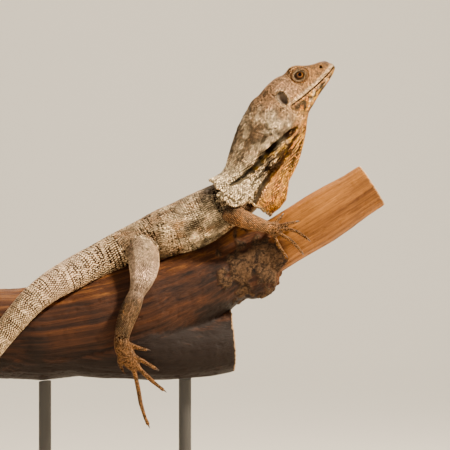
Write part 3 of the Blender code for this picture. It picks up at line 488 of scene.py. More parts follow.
def new_material(name, **sockets):
    """A Principled material, its node tree and its shader, with the given constants on the shader."""
    material = bpy.data.materials.new(name)
    material.use_nodes = True
    tree = material.node_tree
    shader = tree.nodes["Principled BSDF"]
    for key, value in sockets.items():
        shader.inputs[key.replace("_", " ")].default_value = value
    return material, tree, shader


MIDDLE_OF_NOISE = {"From Min": 0.3, "From Max": 0.7}  # where nearly all of a noise texture's values lie
STAIN_SIZE = 6  # mm between duller and shinier stretches of hide
GRAIN_DEPTH = 0.12  # mm of relief in the skin's own grain


def scaly_hide(name, roughness, grain_mm, bump):
    """Dry keratin over pigmented skin: matt, with a weak sheen where a scale turns to the light.

    The attribute ground holds the markings, rise is 0 in the seams and 1 on a scale's keel, and tone is
    one number a scale, so that neighbours differ a little as real scales do.
    """
    material, tree, shader = new_material(name, IOR=1.54)
    place = add(tree, "TexCoord").outputs["Object"]
    ground = add(tree, "Attribute", attribute_name="ground").outputs["Color"]
    rise, tone, tip = (add(tree, "Attribute", attribute_name=kept).outputs["Fac"]
                       for kept in ("rise", "tone", "tip"))
    grain = add(tree, "TexNoise", {"Vector": place, "Scale": 1 / (grain_mm * MM), "Detail": 4})
    stain = add(tree, "TexNoise", {"Vector": place, "Scale": 1 / (STAIN_SIZE * MM), "Detail": 3})
    # dark in the seams; pale on the keels, partly the scales' own pale tips and partly a painted highlight; and a
    # little different from scale to scale
    seam = add(tree, "MapRange", {"Value": rise, "From Min": 0.2, "From Max": 0.95, "To Min": 0.1, "To Max": 1.45})
    speck = add(tree, "MapRange", {"Value": grain, **MIDDLE_OF_NOISE, "To Min": 0.75, "To Max": 1.2})
    own = add(tree, "MapRange", {"Value": tone, "To Min": 0.5, "To Max": 1.5})
    both = add(tree, "Math", {0: seam, 1: speck}, operation="MULTIPLY")
    shade = add(tree, "Math", {0: both, 1: own}, operation="MULTIPLY")
    high = add(tree, "MapRange", {"Value": rise, "From Min": 0.55, "From Max": 0.95})
    pale_tip_and_highlight = add(tree, "Math", {0: high, 1: tip}, operation="MULTIPLY")
    cream = (*bpy.context.scene.lizard_colours.cream, 1)
    tinted = add(tree, "Mix", {"Factor": pale_tip_and_highlight, "A": ground, "B": cream}, data_type="RGBA")
    shaded = add(tree, "VectorMath", {0: tinted, "Scale": shade}, operation="SCALE")
    # keels shine a little, seams and black pigment hardly at all
    keel_sheen = add(tree, "MapRange", {
        "Value": rise, "From Min": 0.3, "From Max": 0.9, "To Min": 0.04, "To Max": 0.42,
    })
    value = add(tree, "RGBToBW", {"Color": ground})
    pigment_sheen = add(tree, "MapRange", {"Value": value, "From Max": 0.06, "To Min": 0.1, "To Max": 1.0})
    sheen = add(tree, "Math", {0: keel_sheen, 1: pigment_sheen}, operation="MULTIPLY")
    worn = {"To Min": roughness - 0.08, "To Max": roughness + 0.1}
    rough = add(tree, "MapRange", {"Value": stain, **MIDDLE_OF_NOISE, **worn})
    relief = add(tree, "Bump", {"Height": grain, "Strength": bump, "Distance": GRAIN_DEPTH * MM})
    plug(tree, shader, {"Base Color": shaded, "Specular IOR Level": sheen, "Roughness": rough, "Normal": relief})
    return material


# Markings


class LizardColours(bpy.types.PropertyGroup):
    """Pigments of the lizard's hide."""

    tail: FloatVectorProperty(name="Tail", description="Brown of the tail", subtype="COLOR",
                              default=linear("6A411B"))
    hip: FloatVectorProperty(name="Hip", description="Orange brown over the hips", subtype="COLOR",
                             default=linear("96601F"))
    flank: FloatVectorProperty(name="Flank", description="Grey brown of the flanks", subtype="COLOR",
                               default=linear("5E3E24"))
    thigh: FloatVectorProperty(name="Thigh", description="Pinkish grey of the thigh", subtype="COLOR",
                               default=linear("DDB698"))
    shank: FloatVectorProperty(name="Shank", description="Dark brown of the shank", subtype="COLOR",
                               default=linear("3C230D"))
    digits: FloatVectorProperty(name="Digits", description="Golden tan of hands and feet", subtype="COLOR",
                                default=linear("7C4C14"))
    frill: FloatVectorProperty(name="Frill", description="Grey brown of the frill", subtype="COLOR",
                               default=linear("86623F"))
    cream: FloatVectorProperty(name="Cream", description="Pale rings, streaks and edges", subtype="COLOR",
                               default=linear("F4D6A8"))
    gold: FloatVectorProperty(name="Gold", description="Yellow gold of the throat", subtype="COLOR",
                              default=linear("B86C10"))
    crown: FloatVectorProperty(name="Crown", description="Tan of the top of the head", subtype="COLOR",
                               default=linear("A8743C"))
    temple: FloatVectorProperty(name="Temple", description="Pale grey pink behind the eye", subtype="COLOR",
                                default=linear("B5875F"))
    drum: FloatVectorProperty(name="Eardrum", description="Grey of the eardrum", subtype="COLOR",
                              default=linear("6A5643"))
    yellow: FloatVectorProperty(name="Yellow", description="Bright spots on the frill", subtype="COLOR",
                                default=linear("F6B41E"))
    dark: FloatVectorProperty(name="Dark", description="Darkest marks", subtype="COLOR", default=linear("170B04"))


OWN_PIGMENTS = {
    "head": "crown", "neck": "frill", "frill": "frill", "torso": "flank", "tail": "tail", "thigh": "thigh",
    "shank": "shank", "foot": "digits", "upper_arm": "shank", "forearm": "digits", "hand": "digits",
}
TAIL_BAND = 24  # mm from one dark band of the tail to the next


def blend(colour, other, weight):
    return colour + (np.asarray(other) - colour) * np.clip(weight, 0, 1)[:, None]


def pigment(name):
    return np.array(getattr(bpy.context.scene.lizard_colours, name))


def stripes(distance, spacing):
    """Soft stripes across a distance, from 0 to 1."""
    return 0.5 + 0.5 * np.sin(distance / spacing * 2 * math.pi)


def tail_marks(tail, along, noise):
    """Dark bands, pale flecks, and a paler stretch where the tail leaves the branch."""
    band = ramp(0.5 + 0.5 * np.sin(along / TAIL_BAND * 2 * math.pi + 2.4 * noise["middling"]), 0.4, 0.9)
    return [
        ("dark", tail * (0.15 + 0.45 * band * (0.4 + 0.6 * noise["broad"]))),
        ("cream", tail * (0.6 * ramp(noise["fine"], 0.5, 0.8) * (1 - 0.7 * band))),
        ("thigh", tail * 0.45 * dip(along - 66, 24)),
    ]


def body_marks(points, part, noise):
    """Orange brown over the hips, grey flanks, cream rings with dark middles, dark squiggles and a dashed back."""
    x, _, z = points.T
    body = np.clip(part["torso"] + 0.8 * part["thigh"] * ramp(z, 302, 318) + 0.5 * part["tail"]
                   * ramp(x, -60, -30), 0, 1)
    hips = ramp(x, 40, 6)
    back = body * ramp(z - 0.60 * x, 336, 342)
    dashes = stripes(x + 0.55 * z, 3.1)
    large = noise["large"]
    return [
        ("hip", body * hips * 0.6),
        ("dark", body * (0.98 - 0.3 * hips) * ramp(large, 0.55, 0.49)),
        ("cream", body * ramp(np.abs(large - 0.60), 0.075, 0.055)),
        ("hip", body * 0.9 * ramp(large, 0.68, 0.72)),
        ("dark", body * 0.7 * ramp(noise["fine"], 0.6, 0.72)),
        ("temple", back * 0.5 * dashes),
        ("dark", back * 0.5 * (1 - dashes)),
    ]


def limb_marks(points, part, noise):
    """Pale streaks across the thigh, darker towards the knee, and mottled shanks, arms, hands and feet."""
    x, _, z = points.T
    thigh, arm, paws = part["thigh"], part["upper_arm"] + 0.7 * part["forearm"], part["foot"] + part["hand"]
    streak = stripes(z + 0.35 * x + 3 * noise["middling"], 3.4)
    blotch, fine = noise["blotch"], noise["fine"]
    return [
        ("cream", thigh * 0.4 * ramp(streak, 0.5, 0.95)),
        ("dark", thigh * 0.5 * ramp(streak, 0.35, 0.0)),
        ("shank", thigh * 0.8 * ramp(z, 304, 289)),
        ("dark", part["shank"] * 0.6 * ramp(blotch, 0.5, 0.35)),
        ("hip", part["shank"] * 0.4 * ramp(fine, 0.55, 0.8)),
        ("dark", arm * 0.75 * ramp(blotch, 0.52, 0.4)),
        ("gold", arm * 0.35 * ramp(fine, 0.5, 0.8)),
        ("shank", paws * 0.6 * ramp(fine, 0.48, 0.75)),
    ]


def frill_marks(points, frill, noise):
    """A grey upper panel with a dark band, pale creases and margin, and a gold front.

    The gold front has dark stripes and bright spots. Shade is painted beside the pale creases, and shadow down the
    deep folds."""
    x, _, z = points.T
    fine = noise["fine"]
    down = (points - FRILL_START) @ np.array(FRILL_DOWN)
    front = (points - FRILL_MIDDLE) @ np.array((-FRILL_DOWN[2], 0, FRILL_DOWN[0]))
    mixed = 0.5 * noise["blotch"] + 0.5 * noise["large"]
    upper, gold = frill * ramp(front, 9, 4), ramp(front, 2, 12) * frill
    band = ramp(down, 6, 12) * ramp(down, 44, 30) * ramp(front + 10 * (noise["broad"] - 0.5), -16, -8)
    marks = [
        ("dark", upper * 0.6 * band),
        ("cream", upper * 0.2 * ramp(down, 36, 48)),
        ("dark", frill * 0.9 * ramp(mixed, 0.50, 0.42)),
        ("cream", frill * 0.85 * ramp(mixed, 0.56, 0.61)),
    ]
    # pale lines along the creases, with painted shade in the grooves beside each
    for crease in PALE_CREASES:
        off, _ = off_line(points, crease)
        marks += [
            ("cream", frill * 0.6 * dip(off + 1.5 * (fine - 0.5), 0.6)),
            ("dark", frill * 0.35 * dip(off - 1.7 + 2 * (fine - 0.5), 0.8)),
        ]
    stripe = ramp(stripes(front + 2.4 * noise["middling"], 3.2), 0.5, 0.2)
    marks += [
        ("gold", gold * 0.9),
        ("yellow", gold * 0.6 * ramp(fine, 0.45, 0.65)),
        ("dark", gold * (0.35 + 0.45 * ramp(z, 378, 390)) * stripe),
    ]
    for x_spot, z_spot in YELLOW_SPOTS:
        off = np.hypot(x - x_spot, z - z_spot) + 1.2 * (fine - 0.5)
        marks.append(("yellow", frill * 0.95 * ramp(off, 2.2, 1.2)))
    marks.append(("cream", frill * 0.95 * ramp(down, 54, 64) * (1 - gold)))
    # painted shadow: black down the deep folds under the upper panel and the pouch, and darker down the throat
    # folds, where the overlapping skin shades them
    for fold, width, strength in ((FRILL_GAP, 1.5, 0.97), (POUCH_GAP, 1.2, 0.93),
                                  *((fold, 0.7, 0.7) for fold in THROAT_FOLDS)):
        marks.append(("dark", frill * strength * ramp(fold_depth(points, fold, width), 0.3, 0.75)))
    return marks


def head_marks(points, head, noise):
    """Pale temple and lip rows, gold and black under the jaw, and rings round the eye and the ear, with shade
    painted into the crease over the ear, between the lips and in the nostril.
    """
    u, out, w = head_frame(points)
    fine, blotch = noise["fine"], noise["blotch"]
    eye, ear = lid_distance(u, w), ear_distance(u, w)
    side = head * ramp(out, 6, 9)
    over_mouth = w - mouth_height(u)
    under = head * ramp(over_mouth, -0.6, -2.4)
    lips = ramp(np.abs(over_mouth), 1.0, 0.6) * ramp(u, 12, 14)
    nostril = ramp(nostril_distance(u, w), 1.3, 0.8) * ramp(out, 3, 5)
    return [
        ("temple", side * ramp(u, 32, 20) * ramp(w, -5, 1) * 0.85),
        ("hip", head * 0.85 * ramp(u, 34, 46) * ramp(over_mouth, 2, 5)),
        ("dark", head * 0.55 * ramp(blotch, 0.5, 0.36) * (0.25 + 0.75 * ramp(u, 40, 48) * ramp(over_mouth, 3, 5))),
        ("dark", head * 0.45 * ramp(fine, 0.6, 0.8) * ramp(w, 8, 13)),
        ("cream", head * 0.75 * dip(over_mouth - 2.0, 1.1) * ramp(u, 12, 18)),
        ("gold", under * 0.85),
        ("yellow", under * 0.8 * ramp(fine, 0.5, 0.6)),
        ("cream", under * 0.8 * ramp(cloud(points, 3.4, 9), 0.62, 0.72)),
        ("dark", under * 0.95 * ramp(blotch, 0.54, 0.47)),
        ("cream", side * 0.45 * dip(eye - 0.8, 0.16)),
        ("dark", side * 0.8 * dip(eye - 1.06, 0.09)),
        ("gold", side * 0.4 * dip(eye - 1.26, 0.1)),
        ("drum", side * ramp(ear, 1.12, 1.0)),
        ("cream", side * 0.6 * dip(ear - 1.3, 0.14)),
        # painted shade along the crease over the ear
        ("dark", side * 0.75 * dip(temple_distance(u, w)[0] + 0.6 * (fine - 0.5), 0.8)),
        # painted shade between the lips and in the nostril
        ("dark", head * np.maximum(lips, 0.95 * nostril)),
    ]


def markings(points, share, along_tail, crease_shade):
    """The hide's colour at each point, in millimetres.

    Share holds how much of each region a point belongs to, and the last argument is 0 on open skin and 1 in a fold
    or crease, where shade is painted into the hide.
    """
    colour = share @ np.array([pigment(OWN_PIGMENTS[name]) for name in REGIONS])
    part = {name: share[:, k] for k, name in enumerate(REGIONS)}
    noise = {"broad": cloud(points, 24, 1), "middling": cloud(points, 8, 2), "fine": cloud(points, 3, 3)}
    warped = points + 5 * np.stack([noise["middling"], noise["fine"], noise["broad"]], axis=1)
    noise["blotch"] = cloud(warped, 4.6, 5)
    noise["large"] = 0.75 * cloud(warped, 9.0, 6) + 0.25 * cloud(warped, 4.0, 8)
    marks = [
        *tail_marks(part["tail"], along_tail, noise),
        *body_marks(points, part, noise),
        *limb_marks(points, part, noise),
        *frill_marks(points, part["frill"], noise),
        *head_marks(points, part["head"], noise),
        # painted shade: the hide darkened in every fold and crease, less on the frill, whose folds have their own
        # painted shadow
        ("dark", (0.92 - 0.82 * part["frill"]) * crease_shade),
    ]
    for name, weight in marks:
        colour = blend(colour, pigment(name), weight)
    return colour


# Skin


class LizardSkin(bpy.types.PropertyGroup):
    """Sizes of the skin under the scales."""

    cell: FloatProperty(name="Cell", description="Mesh size of the skin", default=0.55 * MM, unit="LENGTH",
                        precision=5)
    grow: FloatProperty(name="Bridge", description="How far each node grows to close the gaps",
                        default=0.25 * MM, unit="LENGTH", precision=5)
    coat: FloatProperty(name="Coat depth", description="How far the skin lies inside the solids",
                        default=0.3 * MM, unit="LENGTH", precision=5)
    faces: IntProperty(name="Triangles", description="Triangles kept after thinning the mesh", default=190000)


KEPT = {}  # what the skin's operator finds out, for the operators after it


def let_in_root(points, finder):
    """Lets the frill's root into the head and neck, so that it starts there without a step."""
    tree, face_regions = finder
    under = [name for name in FLESH_NODES if name in ("head", "neck")]
    trees = [BVHTree.FromPolygons(points_of(mesh).tolist(), faces_of(mesh).tolist())
             for mesh in (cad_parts[name].data for name in under)]
    below = (points / MM - FRILL_START) @ np.array(FRILL_ROOT_WAY)
    sunk = points.copy()
    for k in np.nonzero(below < FRILL_ROOT_LENGTH)[0]:
        if REGIONS[face_regions[tree.find_nearest(Vector(points[k]))[2]]] != "frill":
            continue
        normal = min((other.find_nearest(Vector(points[k])) for other in trees), key=lambda found: found[3])[1]
        depth = FRILL_ROOT_DEPTH * (1 - max(0.0, below[k]) / FRILL_ROOT_LENGTH)
        sunk[k] -= np.array(normal) * depth * MM
    return sunk


def skin_surface(settings, finder):
    """All flesh as one closed surface, grown to close the gaps; the skin operator sets it back by the coat's depth
    later.
    """
    skin = joined_copy("skin", FLESH_NODES)
    mesh = skin.data
    grown = let_in_root(points_of(mesh), finder) + settings.grow * points_of(mesh, normals=True)
    move_to(mesh, grown)
    bake(skin, "REMESH", mode="VOXEL", voxel_size=settings.cell)
    return skin


def head_relief(points):
    """How far the head's skin stands out or sinks, in millimetres: lids, brow, ear, nostril and throat folds."""
    u, y, w = head_frame(points)
    eye = lid_distance(u, w)
    beside = ramp(y, 4, 7)
    relief = beside * (0.3 * dip(eye - 1.2, 0.1) - 0.45 * dip(eye - 1.38, 0.07) + 0.25 * dip(eye - 1.6, 0.14))
    relief += ramp(y, 12, 15) * 0.5 * dip(ear_distance(u, w) - 1.12, 0.2)
    off, above = temple_distance(u, w)
    relief += ramp(y, 9, 12) * (0.5 * dip(off - 1.8, 1.0) * above - 1.2 * dip(off, 0.9))
    relief += beside * 0.35 * dip(nostril_distance(u, w) - 1.9, 0.6)
    folds = np.sin((u + 0.35 * w) / 5.2 * 2 * math.pi) * ramp(w, -9, -15) * ramp(u, 30, 16)
    return relief + 0.35 * folds


def frill_relief(points):
    """How far the folds press the frill in, in millimetres."""
    beside = ramp(np.abs(points[:, 1]), 4, 8)
    relief = -1.7 * fold_depth(points, FRILL_GAP, 2.2) - 1.2 * fold_depth(points, POUCH_GAP, 1.8)
    for fold in THROAT_FOLDS:
        relief -= 0.5 * fold_depth(points, fold, 1.4)
    for crease in PALE_CREASES:
        off, _ = off_line(points, crease)
        relief += 0.25 * dip(off, 0.8) - 0.2 * dip(np.abs(off) - 1.9, 0.8)
    return beside * relief


def lid_place(turn, outwards):
    """u and w on the eyelids: outwards is 0 at the rim, 1 where the lid meets the orbit, and more beyond."""
    rim = 3.6 * np.cos(turn), 2.35 * np.sign(np.sin(turn)) * np.abs(np.sin(turn)) ** 1.25
    stretch = 1.1 + 0.5 * np.maximum(0, outwards - 1)
    orbit = LID_RADII[0] * stretch * np.cos(turn), LID_RADII[1] * stretch * np.sin(turn)
    share = np.clip(outwards, 0, 1)
    along, across = (a + (b - a) * share for a, b in zip(rim, orbit))
    return (
        LID_PLACE[0] + along * math.cos(LID_TURN) - across * math.sin(LID_TURN),
        LID_PLACE[2] + along * math.sin(LID_TURN) + across * math.cos(LID_TURN),
    )


def lid_shell(side, tree):
    """Both lids of one eye as a rolled rim over the eyeball: rows of points in millimetres and their quads."""
    sides, rows = 56, []
    for k, outwards in enumerate((1.0, 0.85, 0.68, 0.5, 0.33, 0.18, 0.06, 0.0, 0.0, 0.0)):
        for turn in np.linspace(0, 2 * math.pi, sides, endpoint=False):
            u, w = lid_place(turn, outwards)
            start = head_place(u, side * 40.0, w)
            place = tree.ray_cast(Vector(start * MM), Vector((0, -side, 0)), 0.04)[0]
            skin_y = abs(place[1]) / MM if place else LID_PLACE[1]
            ball = EYE_PLACE[1] + math.sqrt(max(1.0, EYE_RADIUS**2 - (u - EYE_PLACE[0]) ** 2
                                                - (w - EYE_PLACE[2]) ** 2))
            over_ball = ball + (0.75, 0.8, 0.85, 0.9, 0.95, 0.95, 0.85, 0.6, 0.25, -0.4)[k]
            share = ramp(outwards, 0.45, 1.0)
            rows.append(head_place(u, side * (over_ball + (skin_y - 0.35 - over_ball) * share), w))
    faces = []
    for k in range(9):
        for j in range(sides):
            a, b = k * sides + j, k * sides + (j + 1) % sides
            quad = (a, b, b + sides, a + sides)
            faces.append(quad if side > 0 else quad[::-1])
    return np.array(rows), faces


def add_lids(skin):
    """Joins the eyelids to the skin."""
    mesh = skin.data
    tree = BVHTree.FromPolygons(points_of(mesh).tolist(), faces_of(mesh).tolist())
    joined = bmesh.new()
    joined.from_mesh(mesh)
    for side in (-1, 1):
        points, faces = lid_shell(side, tree)
        corners = [joined.verts.new(point * MM) for point in points]
        for quad in faces:
            joined.faces.new([corners[k] for k in quad])
    bmesh.ops.triangulate(joined, faces=[face for face in joined.faces if len(face.verts) > 3])
    joined.to_mesh(mesh)
    joined.free()


class LIZARD_OT_skin(bpy.types.Operator):
    """Makes the lizard's skin, one surface in place of every node of flesh"""

    bl_idname = "lizard.skin"
    bl_label = "Skin"

    def execute(self, context):
        settings = context.scene.lizard_skin
        tree, face_regions = finder = region_finder()
        skin = skin_surface(settings, finder)
        mesh = skin.data
        points, edges = points_of(mesh), edges_of(mesh)
        found = np.array([tree.find_nearest(Vector(p))[2] for p in points])
        region = face_regions[found]
        soft = smoothed(points, edges, 3)
        softer = smoothed(soft, edges, 45)
        share = smoothed(np.eye(len(REGIONS))[region], edges, 16)
        frill, hand, foot = (share[:, REGIONS.index(name)] for name in ("frill", "hand", "foot"))
        below = (points / MM - FRILL_START) @ np.array(FRILL_ROOT_WAY)
        draped = ramp(below, FRILL_ROOT_LENGTH - 4, FRILL_ROOT_LENGTH)
        hanging = ramp(smoothed(frill, edges, 12), 0, 0.04) * draped
        mixed = ramp(1 - share.max(axis=1), 0.08, 0.35) * (1 - (hand + foot)) * (1 - hanging)
        points = soft + (softer - soft) * np.clip(mixed, 0, 1)[:, None]
        points = points + (soft - softer) * (FOLD_SHARPEN * ramp(frill, 0.3, 0.8) * draped)[:, None]
        nape = dip(below + 1, 6) * ramp(points[:, 0] / MM, 98, 90) * ramp(points[:, 2] / MM, 425, 432)
        points = points + (smoothed(softer, edges, 130) - points) * nape[:, None]
        move_to(mesh, points)
        mesh.update()
        normals = points_of(mesh, normals=True)
        head = smoothed((region == REGIONS.index("head")).astype(float), edges, 3)
        relief = (head_relief(points / MM) * head + frill_relief(points / MM) * ramp(frill, 0.2, 0.7)) * MM
        points = points + normals * (relief - settings.grow - settings.coat)[:, None]
        move_to(mesh, points)
        weight = 1 - ramp(head, 0.3, 0.6)
        group = skin.vertex_groups.new(name="thin_out")
        levels = np.round(weight * 4) / 4
        for level in np.unique(levels):
            group.add(np.nonzero(levels == level)[0].tolist(), float(0.12 + 0.88 * level), "REPLACE")
        ratio = settings.faces / (2 * len(mesh.polygons))
        bake(skin, "DECIMATE", ratio=min(1.0, ratio), vertex_group="thin_out", vertex_group_factor=1.0)
        skin.vertex_groups.clear()
        add_lids(skin)
        mesh = skin.data
        mesh.name = "skin"
        points, edges = points_of(mesh), edges_of(mesh)
        found = np.array([tree.find_nearest(Vector(p))[2] for p in points])
        region = face_regions[found]
        remember_skin(mesh, points, edges, region)
        u, y, w = head_frame(points / MM)
        bare = ramp(ear_distance(u, w), 1.1, 0.95) * (y > 10)
        give(mesh, "ground", KEPT["colour"] * (0.42 + 0.58 * bare)[:, None])
        give(mesh, "rise", 0.35 + 0.3 * bare)
        give(mesh, "tone", 0.5 + 0 * points[:, 0])
        give(mesh, "tip", 0 * points[:, 0])
        mesh.materials.clear()
        mesh.materials.append(scaly_hide("Reptile hide, dry keratin skin", 0.55, 0.5, 0.5))
        mesh.polygons.foreach_set("use_smooth", np.ones(len(mesh.polygons), bool))
        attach(skin, "root")
        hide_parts(*FLESH_NODES)
        return {"FINISHED"}


def remember_skin(mesh, points, edges, region):
    """Keeps the skin's shape, regions, middle lines and colours for the scales."""
    mm = points / MM
    is_tail = within(region, ("tail",))
    torso = Line(march(mm[within(region, ("torso",))], SPINE_START, SPINE_WAY, 3.0, 30))
    tail = Line(march(mm[is_tail], *TAIL_FROM, 3.0, 24))
    along_tail = np.zeros(len(mm))
    along_tail[is_tail] = tail.unwrap(mm[is_tail])[0]
    share = smoothed(np.eye(len(REGIONS))[region], edges, 9)
    normals, faces = points_of(mesh, normals=True), faces_of(mesh)
    # how deep each point lies in a fold or crease, at two widths, for the shade painted there
    bulges = []
    for far, near in ((14, 2), (70, 3)):
        bulge = ((smoothed(mm, edges, far) - mm) * normals).sum(axis=1)
        bulges.append(smoothed(bulge, edges, near))
    crease_shade = np.maximum(ramp(bulges[0], 0.12, 0.6), 0.8 * ramp(bulges[1], 0.35, 1.5))
    lines = {
        "torso": torso, "tail": tail, "neck": Line(NECK_AXIS, hint=FORWARD),
        "frill": Line(FRILL_AXIS, hint=FORWARD),
        "head": Line([head_place(u, 0.0, w) for u, w in HEAD_AXIS], hint=HEAD_W),
        "leg_right": Line(LEG_RIGHT, hint=FORWARD), "leg_left": Line(LEG_LEFT, hint=FORWARD),
        "arm_right": Line(ARM_RIGHT, hint=OUT_AND_UP), "arm_left": Line(ARM_LEFT, hint=OUT_AND_UP),
    }
    KEPT.update(
        points=mm, normals=normals, faces=faces, face_region=region[faces[:, 0]], lines=lines,
        colour=smoothed(markings(mm, share, along_tail, crease_shade), edges, 1),
        tree=BVHTree.FromPolygons(mm.tolist(), faces.tolist()), claws=claw_tips(), places=Places(),
    )


# Scales


class LizardScales(bpy.types.PropertyGroup):
    """Sizes of the scales, from one to the next."""

    body: FloatProperty(name="Body", description="Spacing on the body", default=1.58 * MM, unit="LENGTH",
                        precision=5)
    tail: FloatProperty(name="Tail", description="Spacing at the root of the tail", default=2.1 * MM,
                        unit="LENGTH", precision=5)
    tail_tip: FloatProperty(name="Tail tip", description="Spacing at the tip of the tail", default=1.0 * MM,
                            unit="LENGTH", precision=5)
    limbs: FloatProperty(name="Limbs", description="Spacing on the legs and arms", default=1.3 * MM,
                         unit="LENGTH", precision=5)
    digits: FloatProperty(name="Hands and feet", description="Spacing on hands and feet", default=0.95 * MM,
                          unit="LENGTH", precision=5)
    frill: FloatProperty(name="Frill", description="Spacing on the frill", default=1.6 * MM, unit="LENGTH",
                         precision=5)
    head: FloatProperty(name="Head", description="Spacing on the crown", default=1.2 * MM, unit="LENGTH",
                        precision=5)
    face: FloatProperty(name="Face", description="Spacing on the snout and cheeks", default=0.95 * MM,
                        unit="LENGTH", precision=5)


def scale_shape(sides, narrowing, keeled, both_faces=False):
    """One scale's points as shares of its length, width and height, how high each is, and its triangles."""
    turn = np.linspace(0, 2 * math.pi, sides, endpoint=False)
    a, b = 0.5 * np.cos(turn), 0.5 * np.sin(turn) * (1 - narrowing * np.cos(turn))
    rim_height = np.where(a > 0, -0.25 + 0.9 * a, -0.45) if not both_faces else 0 * a
    rows = [np.stack([a, b, rim_height], axis=1), np.stack([0.7 * a, 0.68 * b, 0.55 + 0.4 * a], axis=1)]
    ridge = [(-0.2, 0, 0.85), (0.3, 0, 1.05)] if keeled else [(0, 0, 0.72)]
    points = np.vstack([*rows, ridge])
    rise = np.concatenate([np.zeros(sides), np.full(sides, 0.62), np.ones(len(ridge))])
    faces = []
    back, front = 2 * sides, 2 * sides + len(ridge) - 1
    for k in range(sides):
        n = (k + 1) % sides
        faces += [(k, n, sides + n), (k, sides + n, sides + k)]
        top = front if a[k] + a[n] > 0 else back
        faces.append((sides + k, sides + n, top))
    if keeled:
        quarter = sides // 4
        faces += [(sides + quarter, back, front), (2 * sides - quarter, front, back)]
    faces = np.array(faces)
    if both_faces:
        under = points.copy()
        under[:, 2] *= -1
        faces = np.vstack([faces, faces[:, ::-1] + len(points)])
        points, rise = np.vstack([points, under]), np.concatenate([rise, rise])
    return points, rise, faces


class Places:
    """Roots of scales: where each is, how it stands, which way it points and its size in millimetres."""

    def __init__(self):
        self.rows = []
        self.taken = {}

    def crowded(self, point, room):
        cell = np.floor(point / 1.5).astype(int)
        reach = 1 if room <= 1.5 else 2
        for i in range(cell[0] - reach, cell[0] + reach + 1):
            for j in range(cell[1] - reach, cell[1] + reach + 1):
                for k in range(cell[2] - reach, cell[2] + reach + 1):
                    for other in self.taken.get((i, j, k), ()):
                        gap = (other[0] - point[0]) ** 2 + (other[1] - point[1]) ** 2 + (other[2] - point[2]) ** 2
                        if gap < room**2:
                            return True
        return False

    def put(self, point, face, lie, size, shape=(1.35, 1.04, 0.3), room=0.5):
        """Adds a scale unless another is too near. Shape is its length, width and height as shares of its size."""
        if room and self.crowded(point, room * size):
            return False
        self.taken.setdefault(tuple(np.floor(np.asarray(point) / 1.5).astype(int)), []).append(tuple(point))
        self.rows.append((*point, face, *lie, *(share * size for share in shape)))
        return True

    def only(self, regions):
        """The scales whose roots lie in these regions."""
        rows = np.array(self.rows)
        return rows[within(KEPT["face_region"][rows[:, 3].astype(int)], regions)]


def hit(origin, way, far=200.0):
    place, _, face, _ = KEPT["tree"].ray_cast(Vector(origin), Vector(way), far)
    return (None, None) if face is None else (np.array(place), face)


def face_normal(face):
    return unit(KEPT["normals"][KEPT["faces"][face]].mean(axis=0))


def sow_rows(places, line, start, end, pitch, wanted, outside=0.0, lie=1, shape=(1.35, 1.04, 0.3), step=0.8,
             lowest=0.15):
    """Scales in staggered rows round a line, wherever a ray across it meets the wanted regions."""
    wanted = {REGIONS.index(name) for name in wanted}
    s, row, count = start, 0, None
    while s < end:
        centre = line.place(s)
        way, side, up = line.axes(s)
        size = pitch(s)
        radii = []
        for turn in np.linspace(0, 2 * math.pi, 12, endpoint=False):
            out = side * math.sin(turn) + up * math.cos(turn)
            place, face = hit(centre + out * outside, -out, outside) if outside else hit(centre, out, 60)
            if face is not None and KEPT["face_region"][face] in wanted:
                radii.append(np.linalg.norm(place - centre))
        if radii:
            wished = 2 * math.pi * np.median(radii) / size
            if count is None or abs(wished - count) > max(1.5, 0.05 * count):
                count = max(5, int(round(wished)))
            for turn in (np.arange(count) + 0.5 * (row % 2)) / count * 2 * math.pi:
                out = side * math.sin(turn) + up * math.cos(turn)
                place, face = hit(centre + out * outside, -out, outside) if outside else hit(centre, out, 60)
                if face is None or KEPT["face_region"][face] not in wanted:
                    continue
                if np.linalg.norm(place - centre) > 1.8 * np.median(radii) or face_normal(face) @ out < lowest:
                    continue
                places.put(place, face, way * lie, size, shape)
            row += 1
        s += size * step


def fill(places, wanted, size_at, lie_at, seed, shape=(1.2, 1.05, 0.3), room=0.66, tries=3.2):
    """Scales at random wherever the rows have left bare skin, but not where skin lies on skin."""
    faces = np.nonzero(within(KEPT["face_region"], wanted))[0]
    corners = KEPT["points"][KEPT["faces"][faces]]
    area = np.linalg.norm(np.cross(corners[:, 1] - corners[:, 0], corners[:, 2] - corners[:, 0]), axis=1) / 2
    middles = corners.mean(axis=1)
    sizes = size_at(middles)
    weight = area / sizes**2
    dice = np.random.default_rng(SEED + seed)
    picked = dice.choice(len(faces), int(weight.sum() * tries), p=weight / weight.sum())
    shares = np.sort(dice.random((len(picked), 2)), axis=1)
    a, b = shares[:, :1], shares[:, 1:]
    points = corners[picked, 0] * a + corners[picked, 1] * (b - a) + corners[picked, 2] * (1 - b)
    ways = lie_at(points)
    for point, k, way in zip(points, picked, ways):
        face = faces[k]
        if places.crowded(point, room * sizes[k]):
            continue
        normal = face_normal(face)
        if hit(point + 0.3 * normal, normal, 0.6)[1] is not None:
            continue
        places.put(point, face, way, sizes[k], shape, room=0)


